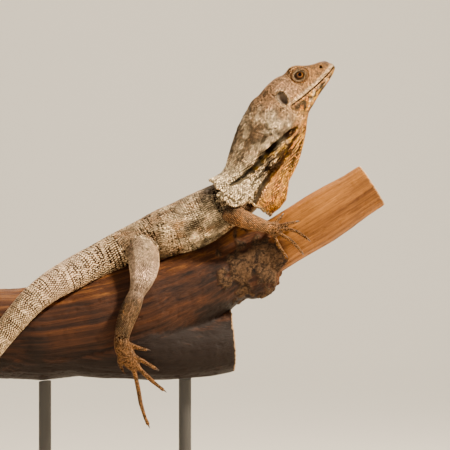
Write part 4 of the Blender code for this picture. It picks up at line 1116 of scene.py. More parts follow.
def unwrapped(rows):
    """Each scale's root on an unwrap of the skin: strips along the head, frill, body, tail and limbs."""
    region = KEPT["face_region"][rows[:, 3].astype(int)]
    left = rows[:, 1] > 0
    strips = [(("head",), None, "head"), (("frill",), None, "frill"), (("neck", "torso"), None, "torso"),
              (("tail",), None, "tail")]
    for limb, names in (("leg", ("thigh", "shank", "foot")), ("arm", ("upper_arm", "forearm", "hand"))):
        strips += [(names, side, f"{limb}_{'left' if side else 'right'}") for side in (False, True)]
    used, uv = [], np.zeros((len(rows), 2))
    for names, side, line in strips:
        inside = within(region, names)
        if side is not None:
            inside &= left == side
        if inside.any():
            used.append((inside, KEPT["lines"][line]))
    for k, (inside, line) in enumerate(used):
        along, turn = line.unwrap(rows[inside, :3])
        spread = (along - along.min()) / max(1e-6, np.ptp(along))
        uv[inside, 0] = 0.01 + 0.98 * (turn / (2 * math.pi) % 1)
        uv[inside, 1] = (k + 0.02 + 0.96 * spread) / len(used)
    return uv


PATCH = 0.003  # how wide each scale's own patch of the bake map is, as a share of the whole


def coat(name, rows, shape, material, slot, tint=None, speckle=0.8, tip=0.12):
    """Joins the scales of one part of the body into one mesh and stores their colours and bake patches."""
    points, rise, faces = shape
    dice = np.random.default_rng(SEED + len(rows))
    root, face, lie = rows[:, :3], rows[:, 3].astype(int), rows[:, 4:7]
    length, width, height = rows[:, 7], rows[:, 8], rows[:, 9]
    corner = KEPT["faces"][face]
    up = unit(KEPT["normals"][corner].mean(axis=1) + dice.normal(0, 0.04, (len(rows), 3)))
    side = unit(np.cross(up, lie + dice.normal(0, 0.05, (len(rows), 3))))
    ahead = np.cross(side, up)
    own = 1 + dice.normal(0, 0.05, len(rows))
    placed = (
        root[:, None]
        + (points[None, :, 0] * (length * own)[:, None])[..., None] * ahead[:, None]
        + (points[None, :, 1] * (width * own)[:, None])[..., None] * side[:, None]
        + (points[None, :, 2] * height[:, None])[..., None] * up[:, None]
    )
    count = len(points)
    all_faces = faces[None] + (np.arange(len(rows)) * count)[:, None, None]
    thing = mesh_object(name, placed.reshape(-1, 3) * MM, all_faces.reshape(-1, 3), material)
    mesh = thing.data
    colour = KEPT["colour"][corner].mean(axis=1)
    fleck = dice.random(len(rows))
    colour = colour * (1 + 0.9 * speckle * ramp(fleck, 0.66, 0.86))[:, None]
    colour = blend(colour, bpy.context.scene.lizard_colours.dark, speckle * 0.75 * ramp(fleck, 0.34, 0.14))
    if tint is not None:
        colour = tint(colour, rows)
    give(mesh, "ground", np.repeat(colour, count, axis=0))
    give(mesh, "rise", np.tile(rise, len(rows)))
    # how far each keel is mixed to cream: partly the scale's own pale tip, partly a painted highlight
    give(mesh, "tip", np.repeat(tip * (0.6 + 0.4 * dice.random(len(rows))), count))
    give(mesh, "tone", np.repeat(np.clip(dice.normal(0.5, 0.25, len(rows)), 0, 1), count))
    local = np.tile(points[:, :2], (len(rows), 1)) * PATCH
    at = np.repeat(unwrapped(rows), count, axis=0) + local
    corners = np.zeros(len(mesh.loops), np.int32)
    mesh.loops.foreach_get("vertex_index", corners)
    mesh.uv_layers.new(name="OFBake").data.foreach_set("uv", at[corners].astype(np.float32).ravel())
    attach(thing, "root")
    return thing


def hide_material(name, *settings):
    return bpy.data.materials.get(name) or scaly_hide(name, *settings)


# Keeled scales, round granules, flat lip shields, and pointed scales that show from both sides.
SCALE = scale_shape(8, 0.3, True)
GRANULE = scale_shape(6, 0.1, False)
PLATE = scale_shape(8, 0.0, False)
TOOTH = scale_shape(8, 0.55, True, both_faces=True)
BODY_HIDE = ("Reptile scales, keeled keratin", 0.46, 0.35, 0.35)


def back_along(line):
    """The way towards the far end of a line at each point beside it."""

    def lie(points):
        along, _ = line.unwrap(points)
        return line.axes(along)[0]

    return lie


def even(size):
    return lambda points: np.full(len(points), size)


class LIZARD_OT_body_scales(bpy.types.Operator):
    """Lays rows of keeled scales along the body, the neck and the tail"""

    bl_idname = "lizard.body_scales"
    bl_label = "Body and tail scales"

    def execute(self, context):
        sizes, lines, places = context.scene.lizard_scales, KEPT["lines"], KEPT["places"]
        body, tail, tip = sizes.body / MM, sizes.tail / MM, sizes.tail_tip / MM
        torso_line, tail_line, neck_line = lines["torso"], lines["tail"], lines["neck"]
        broad = (1.55, 1.12, 0.3)
        sow_rows(places, torso_line, 0.5, torso_line.length, lambda s: body, ("torso",), shape=broad, lowest=0.3)
        nape = sizes.head / MM

        def neck_size(s):
            return body + (nape - body) * ramp(s, 20, 45)

        sow_rows(places, neck_line, 0.5, neck_line.length, neck_size, ("neck",), lie=-1, shape=broad, lowest=0.3)
        fill(places, ("neck",), lambda points: neck_size(neck_line.unwrap(points)[0]), back_along(torso_line), 7)
        fill(places, ("torso",), even(body), back_along(torso_line), 1)

        def tail_size(s):
            return tail + (tip - tail) * (s / tail_line.length) ** 1.3

        sow_rows(places, tail_line, 0.5, tail_line.length - 2, tail_size, ("tail",), shape=(1.4, 0.98, 0.34))
        fill(places, ("tail",), lambda points: tail_size(tail_line.unwrap(points)[0]), back_along(tail_line), 2)
        material = hide_material(*BODY_HIDE)
        coat("scales_body", places.only(("torso",)), SCALE, material, "scaly_skin", speckle=0.6, tip=0.2)
        coat("scales_neck", places.only(("neck",)), SCALE, material, "scaly_skin")
        coat("scales_tail", places.only(("tail",)), SCALE, material, "scaly_skin", speckle=0.55, tip=0.6)
        return {"FINISHED"}


class LIZARD_OT_limb_scales(bpy.types.Operator):
    """Lays scales on the legs and arms, and the smallest ones on hands and feet"""

    bl_idname = "lizard.limb_scales"
    bl_label = "Limb scales"

    def execute(self, context):
        sizes, lines, places = context.scene.lizard_scales, KEPT["lines"], KEPT["places"]
        limb, digit = sizes.limbs / MM, sizes.digits / MM
        for name in ("leg_right", "leg_left", "arm_right", "arm_left"):
            parts = ("thigh", "shank") if name.startswith("leg") else ("upper_arm", "forearm")
            line = lines[name]
            sow_rows(places, line, 2, line.length, lambda s: limb, parts, shape=(1.3, 1.06, 0.28), lowest=0.45)

        def down_limb(points):
            ways = np.zeros_like(points)
            for name in ("leg_right", "leg_left", "arm_right", "arm_left"):
                line = lines[name]
                is_leg, is_left = name.startswith("leg"), name.endswith("left")
                inside = ((points[:, 1] > 0) == is_left) & ((points[:, 0] < 45) == is_leg)
                if inside.any():
                    ways[inside] = back_along(line)(points[inside])
            return ways

        fill(places, ("thigh", "shank", "upper_arm", "forearm"), even(limb), down_limb, 3)
        tips = np.array([tip for tip, _ in KEPT["claws"]])

        def towards_tip(points):
            away = tips[None] - points[:, None]
            return unit(away[np.arange(len(points)), np.argmin((away**2).sum(axis=2), axis=1)])

        fill(places, ("foot", "hand"), even(digit), towards_tip, 4, tries=4.5)
        material = hide_material(*BODY_HIDE)
        coat("scales_legs", places.only(("thigh", "shank")), SCALE, material, "scaly_skin", speckle=0.6)
        coat("scales_arms", places.only(("upper_arm", "forearm")), SCALE, material, "scaly_skin", speckle=0.6)
        paws = places.only(("foot", "hand"))
        clear = np.min(np.linalg.norm(paws[:, None, :3] - tips[None], axis=2), axis=1) > 3.4
        coat("scales_feet", paws[clear], GRANULE, material, "scaly_skin")
        return {"FINISHED"}


class LIZARD_OT_frill_scales(bpy.types.Operator):
    """Lays rows of scales down the folded frill and sets a fringe of pointed scales along its free edge"""

    bl_idname = "lizard.frill_scales"
    bl_label = "Frill scales"

    def execute(self, context):
        size, line, places = context.scene.lizard_scales.frill / MM, KEPT["lines"]["frill"], KEPT["places"]
        root = context.scene.lizard_scales.head / MM

        def size_along(s):
            return root + (size - root) * ramp(s, 0, 34)

        sow_rows(places, line, 0, line.length + 12, size_along, ("frill",), outside=60, shape=(1.3, 1.0, 0.24),
                 lowest=0.2)
        fill(places, ("frill",), lambda points: size_along(line.unwrap(points)[0]), back_along(line), 5)
        rows = places.only(("frill",))
        material = hide_material("Reptile frill, thin scaled membrane", 0.5, 0.35, 0.3)
        coat("scales_frill_right", rows[rows[:, 1] < 0], SCALE, material, "frill_skin")
        coat("scales_frill_left", rows[rows[:, 1] >= 0], SCALE, material, "frill_skin")
        coat("scales_frill_edge", self.fringe(line), TOOTH, material, "frill_skin", tint=self.pale)
        return {"FINISHED"}

    @staticmethod
    def fringe(line):
        """A pointed scale at each step along the frill's free edge."""
        inside = np.nonzero(within(KEPT["face_region"], ("frill",)))[0]
        middles = KEPT["points"][KEPT["faces"][inside]].mean(axis=1)
        axis = np.array(FRILL_DOWN)
        down = (middles - FRILL_START) @ axis
        forward = np.array((-axis[2], 0, axis[0]))
        turn = np.arctan2(middles[:, 1], (middles - line.place(0.6 * line.length)) @ forward)
        rows = []
        for slot in np.arange(-math.pi, math.pi, math.radians(FRINGE_TURN)):
            near = np.nonzero(np.abs(turn - slot) < math.radians(FRINGE_TURN) * 0.5)[0]
            if len(near) < 4:
                continue
            last = near[np.argmax(down[near])]
            rows.append((*middles[last], inside[last], *axis, 3.0, 2.3, 0.8))
        return np.array(rows)

    @staticmethod
    def pale(colour, rows):
        cream = np.array(bpy.context.scene.lizard_colours.cream)
        return colour + (cream - colour) * 0.65


class LIZARD_OT_head_scales(bpy.types.Operator):
    """Covers the head: lip shields, rings of granules round the eyes, and small scales elsewhere"""

    bl_idname = "lizard.head_scales"
    bl_label = "Head scales"

    def execute(self, context):
        sizes, places = context.scene.lizard_scales, KEPT["places"]
        line = KEPT["lines"]["head"]
        crown, face_size = sizes.head / MM, sizes.face / MM
        shields = self.lip_shields()
        for row in shields:
            places.put(np.array(row[:3]), row[3], (0, 0, 0), 1.0, room=0)
        lids = self.lid_rings(places)
        start = len(places.rows)
        sow_rows(
            places, line, 1, line.length, lambda s: crown + (face_size - crown) * ramp(s, 30, 54), ("head",),
            lie=-1, shape=(1.2, 1.02, 0.3), lowest=0.25,
        )

        def size_at(points):
            u, _, w = head_frame(points)
            return crown + (face_size - crown) * np.maximum(ramp(u, 30, 50), ramp(w, 12, 4))

        fill(places, ("head",), size_at, lambda points: -back_along(line)(points), 6, room=0.7, tries=4.0)
        rows = np.array(places.rows[start:])
        rows = rows[within(KEPT["face_region"][rows[:, 3].astype(int)], ("head",))]
        u, y, w = head_frame(rows[:, :3])
        # no scales on the eardrum, in the nostril, on the lids, which have their own, and between the lips
        bare = ((ear_distance(u, w) < 0.85) & (y > 12)) | ((nostril_distance(u, w) < 1.2) & (y > 4))
        bare |= (lid_distance(u, w) < 1.5) & (y > 8)
        lip_side = np.interp(u, MOUTH_LINE[:, 0], MOUTH_LINE[:, 1]) - 2.5
        bare |= (np.abs(w - mouth_height(u)) < 0.42) & (u > 13) & (u < 58.5) & (y > lip_side)
        material = hide_material(*BODY_HIDE)
        coat("scales_head", rows[~bare], SCALE, material, "scaly_skin")
        coat("scales_lips", np.array(shields), PLATE, material, "scaly_skin", tint=self.pale_lips)
        coat("scales_lids", np.array(lids), GRANULE, material, "scaly_skin")
        return {"FINISHED"}

    @staticmethod
    def side_hit(u, w, side):
        """Where the head's side stands at u and w."""
        place, face = hit(head_place(u, side * 40.0, w), (0, -side, 0), 40)
        if face is None or REGIONS[KEPT["face_region"][face]] != "head":
            return None, None
        return place, face

    def lip_shields(self):
        """One row of shields above the mouth and one below it, on both sides."""
        rows = []
        for side in (-1, 1):
            for above, height in ((1.0, 1.75), (-1.0, 1.5)):
                u = 14.0
                while u < 58.0:
                    length = np.interp(u, (14, 40, 58), (2.5, 2.2, 1.4))
                    w = mouth_height(u)
                    tilt = mouth_height(u + 1) - w
                    share = np.interp(u, (50, 58), (1, 0.6))
                    place, face = self.side_hit(u, w + above * (0.4 + 0.5 * height) * share, side)
                    if face is not None:
                        lie = HEAD_U + tilt * HEAD_W
                        rows.append((*place, face, *lie, length * 1.04, height * share * 1.1, 0.42))
                    u += length
        return rows

    def lid_rings(self, places):
        """Rings of granules on both lids, smallest at the rim."""
        rows = []
        for side in (-1, 1):
            for k, (ring, size) in enumerate(LID_RINGS):
                mean = np.interp(ring, (0, 1), (3.0, 5.5)) + 2.5 * max(0, ring - 1)
                count = int(2 * math.pi * mean / size)
                for turn in (np.arange(count) + 0.5 * (k % 2)) * 2 * math.pi / count:
                    u, w = lid_place(turn, ring)
                    place, face = self.side_hit(u, w, side)
                    if face is None:
                        continue
                    ahead = (
                        -math.sin(turn) * (math.cos(LID_TURN) * HEAD_U + math.sin(LID_TURN) * HEAD_W)
                        + math.cos(turn) * (math.cos(LID_TURN) * HEAD_W - math.sin(LID_TURN) * HEAD_U)
                    )
                    rows.append((*place, face, *ahead, size * 1.1, size * 1.05, 0.26))
        return rows

    @staticmethod
    def pale_lips(colour, rows):
        return blend(colour, bpy.context.scene.lizard_colours.gold, np.full(len(rows), 0.25))


# Claws and eyes


def claw_tips():
    """The tip of each claw and the way that it points, in millimetres, from the hands and feet of the frame."""
    wrists = {
        "hand_right": ARM_RIGHT[-1], "hand_left": ARM_LEFT[-1],
        "foot_right": LEG_RIGHT[-1], "foot_left": LEG_LEFT[-1],
    }
    tips = []
    for name, wrist in wrists.items():
        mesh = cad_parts[name].data
        ends = points_of(mesh) / MM
        corners = ends[faces_of(mesh)]
        # points all along the edges, for a toe's sides have none between its joints
        points = np.vstack([corners[:, k] + share * (corners[:, k - 1] - corners[:, k]) for k in range(3)
                            for share in np.arange(0, 1, 0.125)])
        reach = np.linalg.norm(points - wrist, axis=1)
        for point in ends:
            out = np.linalg.norm(point - wrist)
            away = np.linalg.norm(points - point, axis=1)
            if out > 8 and out >= reach[away < 7].max() - 1e-6:
                if all(np.linalg.norm(point - tip) > 5 for tip, _ in tips):
                    behind = points[(away > 3) & (away < 6.5)].mean(axis=0)
                    end = points[away < 1.0].mean(axis=0)
                    tips.append((end, unit(end - behind)))
    return tips


class LIZARD_OT_claws(bpy.types.Operator):
    """Makes a hooked claw at the end of every finger and toe"""

    bl_idname = "lizard.claws"
    bl_label = "Claws"

    def execute(self, context):
        material, tree, shader = new_material("Claw horn, dark and worn smooth", IOR=1.54, Roughness=0.28,
                                              Specular_IOR_Level=0.5)
        along = add(tree, "Attribute", attribute_name="along").outputs["Fac"]
        shade = add(tree, "Mix", {"Factor": along, "A": rgba("5C4028"), "B": rgba("1A110B")}, data_type="RGBA")
        plug(tree, shader, {"Base Color": shade})
        points, faces, shares = [], [], []
        sides, rings = 10, 9
        for tip, way in KEPT["claws"]:
            down = unit(np.array((0, -math.copysign(1, tip[1]) * 0.9, -0.5)))
            down = unit(down - way * (down @ way))
            across = np.cross(way, down)
            start = len(points)
            for k in range(rings):
                t = k / (rings - 1)
                place = tip - way * (1 - t) * CLAW_LENGTH - down * 0.7 * 4 * t * (1 - t) * 0.45
                radius = CLAW_RADIUS * (1 - t) ** 0.8 + 0.12
                for j in range(sides):
                    turn = 2 * math.pi * j / sides
                    points.append(place + radius * (0.8 * math.cos(turn) * across + math.sin(turn) * down))
                    shares.append(t)
            for k in range(rings - 1):
                faces += between_rings(start + k * sides, sides)
            points.append(tip + way * 0.15)
            shares.append(1.0)
            last = start + (rings - 1) * sides
            faces += [(last + j, len(points) - 1, last + (j + 1) % sides) for j in range(sides)]
        claws = mesh_object("claws", np.array(points) * MM, faces, material)
        give(claws.data, "along", np.array(shares))
        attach(claws, "root")
        return {"FINISHED"}


class LIZARD_OT_eyes(bpy.types.Operator):
    """Makes the wet eyeballs with a dark pupil inside a gold ring"""

    bl_idname = "lizard.eyes"
    bl_label = "Eyes"

    def execute(self, context):
        # a clear wet cornea over the iris: one sharp highlight, with the colours under it
        material, tree, shader = new_material("Eye, wet cornea over the iris", IOR=1.38, Roughness=0.12,
                                              Specular_IOR_Level=0.2, Coat_Weight=0.35, Coat_Roughness=0.03)
        polar = add(tree, "Attribute", attribute_name="polar").outputs["Fac"]
        place = add(tree, "TexCoord").outputs["Object"]
        fibre = add(tree, "TexNoise", {"Vector": place, "Scale": 1 / (0.35 * MM), "Detail": 3})
        bands = add(tree, "ValToRGB", {"Fac": polar})
        elements = bands.color_ramp.elements
        for element, (position, colour) in zip(elements, (IRIS[0], IRIS[-1])):
            element.position, element.color = position, rgba(colour)
        for position, colour in IRIS[1:-1]:
            elements.new(position).color = rgba(colour)
        strength = add(tree, "MapRange", {"Value": fibre, **MIDDLE_OF_NOISE, "To Min": 0.7, "To Max": 1.25})
        shaded = add(tree, "VectorMath", {0: bands, "Scale": strength}, operation="SCALE")
        plug(tree, shader, {"Base Color": shaded})
        for node, side in zip(EYE_NODES, (-1, 1)):
            centre = head_place(EYE_PLACE[0], side * EYE_PLACE[1], EYE_PLACE[2])
            gaze = unit(np.array((0, side, 0)) + 0.10 * HEAD_U + 0.04 * HEAD_W)
            across = unit(np.cross(gaze, (0, 0, 1)))
            upright = np.cross(across, gaze)
            rings, sides = 40, 48
            points, polars, faces = [centre + gaze * (EYE_RADIUS + CORNEA)], [0.0], []
            for k in range(1, rings):
                angle = math.pi * k / rings
                radius = EYE_RADIUS + CORNEA * math.exp(-((angle / 0.42) ** 4))
                for j in range(sides):
                    turn = 2 * math.pi * j / sides
                    out = math.cos(turn) * across + math.sin(turn) * upright
                    points.append(centre + radius * (math.cos(angle) * gaze + math.sin(angle) * out))
                    polars.append(min(1.0, angle / EYE_SHOWN))
            points.append(centre - gaze * EYE_RADIUS)
            polars.append(1.0)
            for j in range(sides):
                n = (j + 1) % sides
                faces.append((0, 1 + j, 1 + n))
                faces.append((len(points) - 1, 1 + (rings - 2) * sides + n, 1 + (rings - 2) * sides + j))
                for k in range(rings - 2):
                    a, b = 1 + k * sides + j, 1 + k * sides + n
                    faces += [(a, a + sides, b + sides), (a, b + sides, b)]
            eye = mesh_object(f"{node}_ball", np.array(points) * MM, faces, material)
            give(eye.data, "polar", np.array(polars))
            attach(eye, "root")
            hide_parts(node)
        return {"FINISHED"}


# Branch


class LizardBranch(bpy.types.PropertyGroup):
    """Sizes and colours of the cut branch."""

    cell: FloatProperty(name="Cell", description="Mesh size of the wood", default=1.5 * MM, unit="LENGTH",
                        precision=5)
    light: FloatVectorProperty(name="Light wood", description="Lighter wood", subtype="COLOR",
                               default=linear("B0702C"))
    middle: FloatVectorProperty(name="Wood", description="Weathered wood", subtype="COLOR",
                                default=linear("4B270D"))
    deep: FloatVectorProperty(name="Dark wood", description="Dark grain", subtype="COLOR", default=linear("1A0C05"))
    bark: FloatVectorProperty(name="Bark", description="Bark left on the knot", subtype="COLOR",
                              default=linear("4C3622"))
    sawn: FloatVectorProperty(name="Cut end", description="Fresh cut ends", subtype="COLOR",
                              default=linear("D8B083"))


def weathered_wood(colours):
    """Barkless wood polished by weather and claws: long fibres, dull sheen, and bark left on the knot."""
    material, tree, shader = new_material("Weathered wood, barkless", IOR=1.5, Specular_IOR_Level=0.25)
    grain = add(tree, "Attribute", attribute_name="grain").outputs["Vector"]
    bark = add(tree, "Attribute", attribute_name="bark").outputs["Fac"]
    sawn = add(tree, "Attribute", attribute_name="sawn").outputs["Fac"]
    pale = add(tree, "Attribute", attribute_name="pale").outputs["Fac"]
    place = add(tree, "TexCoord").outputs["Object"]
    long_fibres = add(tree, "Mapping", {"Vector": grain, "Scale": (0.004, 0.22, 0.22)})
    streaks = add(tree, "TexNoise", {"Vector": long_fibres, "Scale": 1.0, "Detail": 9, "Roughness": 0.7,
                                     "Distortion": 0.3})
    fine_fibres = add(tree, "Mapping", {"Vector": grain, "Scale": (0.03, 1.5, 1.5)})
    fibres = add(tree, "TexNoise", {"Vector": fine_fibres, "Scale": 1.0, "Detail": 4, "Roughness": 0.6})
    patches = add(tree, "TexNoise", {"Vector": place, "Scale": 1 / (34 * MM), "Detail": 3})
    rings = add(tree, "TexWave", {"Vector": grain, "Scale": 0.55, "Distortion": 1.2, "Detail": 2,
                                  "Detail Scale": 0.4}, wave_type="RINGS", rings_direction="X")
    # pale carries the branch's painted light and shade, and moves the wood between its dark and light colours
    both = add(tree, "Math", {0: streaks, 1: pale}, operation="ADD")
    soft = add(tree, "Math", {0: patches, 1: 0.45, 2: both}, operation="MULTIPLY_ADD")
    first = add(tree, "MapRange", {"Value": soft, "From Min": 0.50, "From Max": 0.76})
    second = add(tree, "MapRange", {"Value": soft, "From Min": 0.76, "From Max": 1.15})
    wood = add(tree, "Mix", {"Factor": first, "A": (*colours.deep, 1), "B": (*colours.middle, 1)}, data_type="RGBA")
    lighter = add(tree, "Mix", {"Factor": second, "A": wood, "B": (*colours.light, 1)}, data_type="RGBA")
    line = add(tree, "MapRange", {"Value": fibres, **MIDDLE_OF_NOISE, "To Min": 0.68, "To Max": 1.25})
    crack_way = add(tree, "Mapping", {"Vector": grain, "Scale": (0.008, 0.5, 0.5)})
    hairs = add(tree, "TexNoise", {"Vector": crack_way, "Scale": 1.0, "Detail": 5, "Roughness": 0.55})
    hair_off = add(tree, "Math", {0: hairs, 1: 0.5, 2: 0.006}, operation="COMPARE")
    hair = add(tree, "MapRange", {"Value": hair_off, "To Min": 1.0, "To Max": 0.45})
    line_value = add(tree, "Math", {0: line, 1: hair}, operation="MULTIPLY")
    lined = add(tree, "VectorMath", {0: lighter, "Scale": line_value}, operation="SCALE")
    flakes = add(tree, "TexNoise", {"Vector": place, "Scale": 1 / (9 * MM), "Detail": 6, "Roughness": 0.6,
                                    "Distortion": 1.2})
    flake_off = add(tree, "Math", {0: flakes, 1: 0.5}, operation="SUBTRACT")
    flake_size = add(tree, "Math", {0: flake_off}, operation="ABSOLUTE")
    flake_edge = add(tree, "MapRange", {"Value": flake_size, "From Min": 0.004, "From Max": 0.035,
                                        "To Min": 0.25, "To Max": 1.0})
    crumbs = add(tree, "TexNoise", {"Vector": place, "Scale": 1 / (1.6 * MM), "Detail": 5})
    crumb_shade = add(tree, "MapRange", {"Value": crumbs, **MIDDLE_OF_NOISE, "To Min": 0.45, "To Max": 1.5})
    cracked = add(tree, "Attribute", attribute_name="cracked").outputs["Fac"]
    crack_shade = add(tree, "MapRange", {"Value": cracked, "To Min": 1.15, "To Max": 0.2})
    bark_cracks = add(tree, "Math", {0: flake_edge, 1: crack_shade}, operation="MULTIPLY")
    bark_value = add(tree, "Math", {0: crumb_shade, 1: bark_cracks}, operation="MULTIPLY")
    bark_shade = add(tree, "VectorMath", {0: (*colours.bark,), "Scale": bark_value}, operation="SCALE")
    barked = add(tree, "Mix", {"Factor": bark, "A": lined, "B": bark_shade}, data_type="RGBA")
    ring_shade = add(tree, "MapRange", {"Value": rings.outputs["Fac"], "To Min": 0.55, "To Max": 1.05})
    end_shade = add(tree, "VectorMath", {0: (*colours.sawn,), "Scale": ring_shade}, operation="SCALE")
    ended = add(tree, "Mix", {"Factor": sawn, "A": barked, "B": end_shade}, data_type="RGBA")
    rough = add(tree, "MapRange", {"Value": streaks, **MIDDLE_OF_NOISE, "To Min": 0.78, "To Max": 0.58})
    rough_bark = add(tree, "Mix", {"Factor": bark, "A": rough, "B": 0.9})
    heights = add(tree, "Math", {0: fibres, 1: streaks}, operation="ADD")
    bark_height = add(tree, "Math", {0: crumbs, 1: flake_edge}, operation="ADD")
    height = add(tree, "Mix", {"Factor": bark, "A": heights, "B": bark_height})
    relief = add(tree, "Bump", {"Height": height, "Strength": 0.7, "Distance": 0.7 * MM})
    plug(tree, shader, {"Base Color": ended, "Roughness": rough_bark, "Normal": relief})
    return material


class LIZARD_OT_branch(bpy.types.Operator):
    """Makes the cut branch with long fibres, cracks, rough bark on the knot and sawn ends"""

    bl_idname = "lizard.branch"
    bl_label = "Branch"

    def execute(self, context):
        settings = context.scene.lizard_branch
        branch = joined_copy("branch", ["perch_branch"])
        bake(branch, "REMESH", mode="VOXEL", voxel_size=settings.cell)
        mesh = branch.data
        edges = edges_of(mesh)
        points = smoothed(points_of(mesh), edges, 2)
        move_to(mesh, points)
        mesh.update()
        normals = points_of(mesh, normals=True)
        mm = points / MM
        main, fork = Line(BRANCH_AXIS), Line(FORK_AXIS)
        grain, nearness, way = [], [], []
        for line in (main, fork):
            along, turn = line.unwrap(mm)
            radius = np.linalg.norm(mm - line.place(along), axis=1)
            grain.append(np.stack([along, radius * np.cos(turn), radius * np.sin(turn)], axis=1))
            nearness.append(radius)
            way.append(line.axes(along)[0])
        on_fork = (nearness[1] < 0.86 * nearness[0]) | (mm[:, 2] < 236)
        grain = np.where(on_fork[:, None], grain[1] + (700, 0, 0), grain[0])
        way = np.where(on_fork[:, None], way[1], way[0])
        knot = np.linalg.norm((mm - BARK_PLACE) / BARK_RADII, axis=1)
        ragged = 0.9 * cloud(mm, 14, 61) + 0.5 * cloud(mm, 5, 67)
        bark = ramp(knot + ragged, 1.62, 1.57)
        x, z = mm[:, 0], mm[:, 2]
        near_cut = (x < BRANCH_ENDS[0]) | (x > BRANCH_ENDS[1]) | (on_fork & (x > FORK_END[0]) & (z < FORK_END[1]))
        sawn = (near_cut & (np.abs((normals * way).sum(axis=1)) > 0.75)).astype(float)
        stretched = grain * (0.05, 0.5, 0.5)
        groove = cloud(stretched, 1.0, 62) * 0.6 + cloud(grain * (0.02, 0.22, 0.22), 1.0, 63) * 0.9
        crack = ramp(np.abs(cloud(grain * (0.03, 0.3, 0.3), 1.0, 64) - 0.5), 0.035, 0.0)
        warped = mm + 3 * np.stack([cloud(mm, 7, seed) for seed in (68, 69, 70)], axis=1)
        plates = np.maximum(ramp(np.abs(cloud(warped, 11, 65) - 0.5), 0.05, 0.01),
                            0.7 * ramp(np.abs(cloud(warped, 6, 60) - 0.5), 0.05, 0.01))
        weathered = 0.7 + 0.6 * ramp(knot, 2.2, 1.3) + 0.35 * (1 - groove) + 0.8 * crack
        flaked = 0.8 * plates + 0.9 * cloud(mm, 4, 66) - 0.3
        depth = (1 - sawn) * (1 - bark) * weathered + bark * flaked
        points = points - normals * ((depth + 0.1) * MM)[:, None]
        # the wood swells up to the belly and the root of the tail, which rest on it
        lift = 0
        for height, start, full, falls, end in SWELLS:
            lift = lift + height * ramp(mm[:, 0], start, full) * ramp(mm[:, 0], end, falls)
        points[:, 2] += lift * ramp(np.abs(mm[:, 1]), 21, 3) * ramp(normals[:, 2], 0.1, 0.5) * MM
        move_to(mesh, points)
        give(mesh, "grain", grain)
        give(mesh, "bark", bark)
        give(mesh, "cracked", bark * plates)
        give(mesh, "sawn", sawn)
        # paler towards the upper right end; and painted light and shade: paler where the wood faces up, darker over
        # the shaded lower part of the branch and its fork
        low = ramp(mm[:, 2] - 0.42 * np.maximum(mm[:, 0], -40), 262, 238)
        pale = 0.36 * ramp(mm[:, 0], 84, 118) + 0.18 * ramp(normals[:, 2], 0.2, 0.9) - 0.10 - 0.24 * low
        give(mesh, "pale", pale)
        mesh.materials.clear()
        mesh.materials.append(weathered_wood(settings))
        mesh.polygons.foreach_set("use_smooth", np.ones(len(mesh.polygons), bool))
        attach(branch, "root")
        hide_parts("perch_branch")
        return {"FINISHED"}


# Stand and stage


class LIZARD_OT_stand(bpy.types.Operator):
    """Gives the display stand its powder-coated finish"""

    bl_idname = "lizard.stand"
    bl_label = "Stand"

    def execute(self, context):
        # baked polyester powder on steel: a satin charcoal with fine orange peel
        material, tree, shader = new_material("Powder-coated steel, charcoal satin", IOR=1.5)
        place = add(tree, "TexCoord").outputs["Object"]
        peel = add(tree, "TexNoise", {"Vector": place, "Scale": 1 / (0.9 * MM), "Detail": 2})
        haze = add(tree, "TexNoise", {"Vector": place, "Scale": 1 / (45 * MM), "Detail": 3})
        shade = add(tree, "Mix", {"Factor": haze, "A": rgba("343230"), "B": rgba("45423F")}, data_type="RGBA")
        rough = add(tree, "MapRange", {"Value": peel, "To Min": 0.38, "To Max": 0.52})
        relief = add(tree, "Bump", {"Height": peel, "Strength": 0.25, "Distance": 0.08 * MM})
        plug(tree, shader, {"Base Color": shade, "Roughness": rough, "Normal": relief})
        for name in STAND_NODES:
            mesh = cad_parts[name].data
            mesh.materials.clear()
            mesh.materials.append(material)
        return {"FINISHED"}


class LizardStage(bpy.types.PropertyGroup):
    """The floor, the lights and the camera."""

    distance: FloatProperty(name="Camera distance", description="From the lens to the lizard", default=2.0,
                            unit="LENGTH")
    shown: FloatProperty(name="Width shown", description="Width of the view at the lizard", default=0.36,
                         unit="LENGTH")
    aim_x: FloatProperty(name="Aim across", description="Middle of the view, across", default=0.060, unit="LENGTH")
    aim_z: FloatProperty(name="Aim height", description="Middle of the view, above the floor", default=0.341,
                         unit="LENGTH")
    floor: FloatVectorProperty(name="Floor", description="Colour of floor and backdrop", subtype="COLOR",
                               default=linear("E6DCCB"))
    key: FloatProperty(name="Key light", description="Strength of the main light", default=138.0)
    fill: FloatProperty(name="Fill light", description="Strength of the light on the other side", default=5.0)
    back: FloatProperty(name="Rim light", description="Strength of the light from behind", default=30.0)
    wall: FloatProperty(name="Backdrop light", description="Strength of the light on the backdrop", default=185.0)


def soft_light(name, place, target, size, power, colour):
    lamp = bpy.data.lights.new(name, "AREA")
    lamp.shape, lamp.size, lamp.energy, lamp.color = "DISK", size, power, colour
    thing = bpy.data.objects.new(name, lamp)
    thing.location = place
    thing.rotation_euler = (Vector(target) - Vector(place)).to_track_quat("-Z", "Y").to_euler()
    bpy.context.scene.collection.objects.link(thing)
    return thing


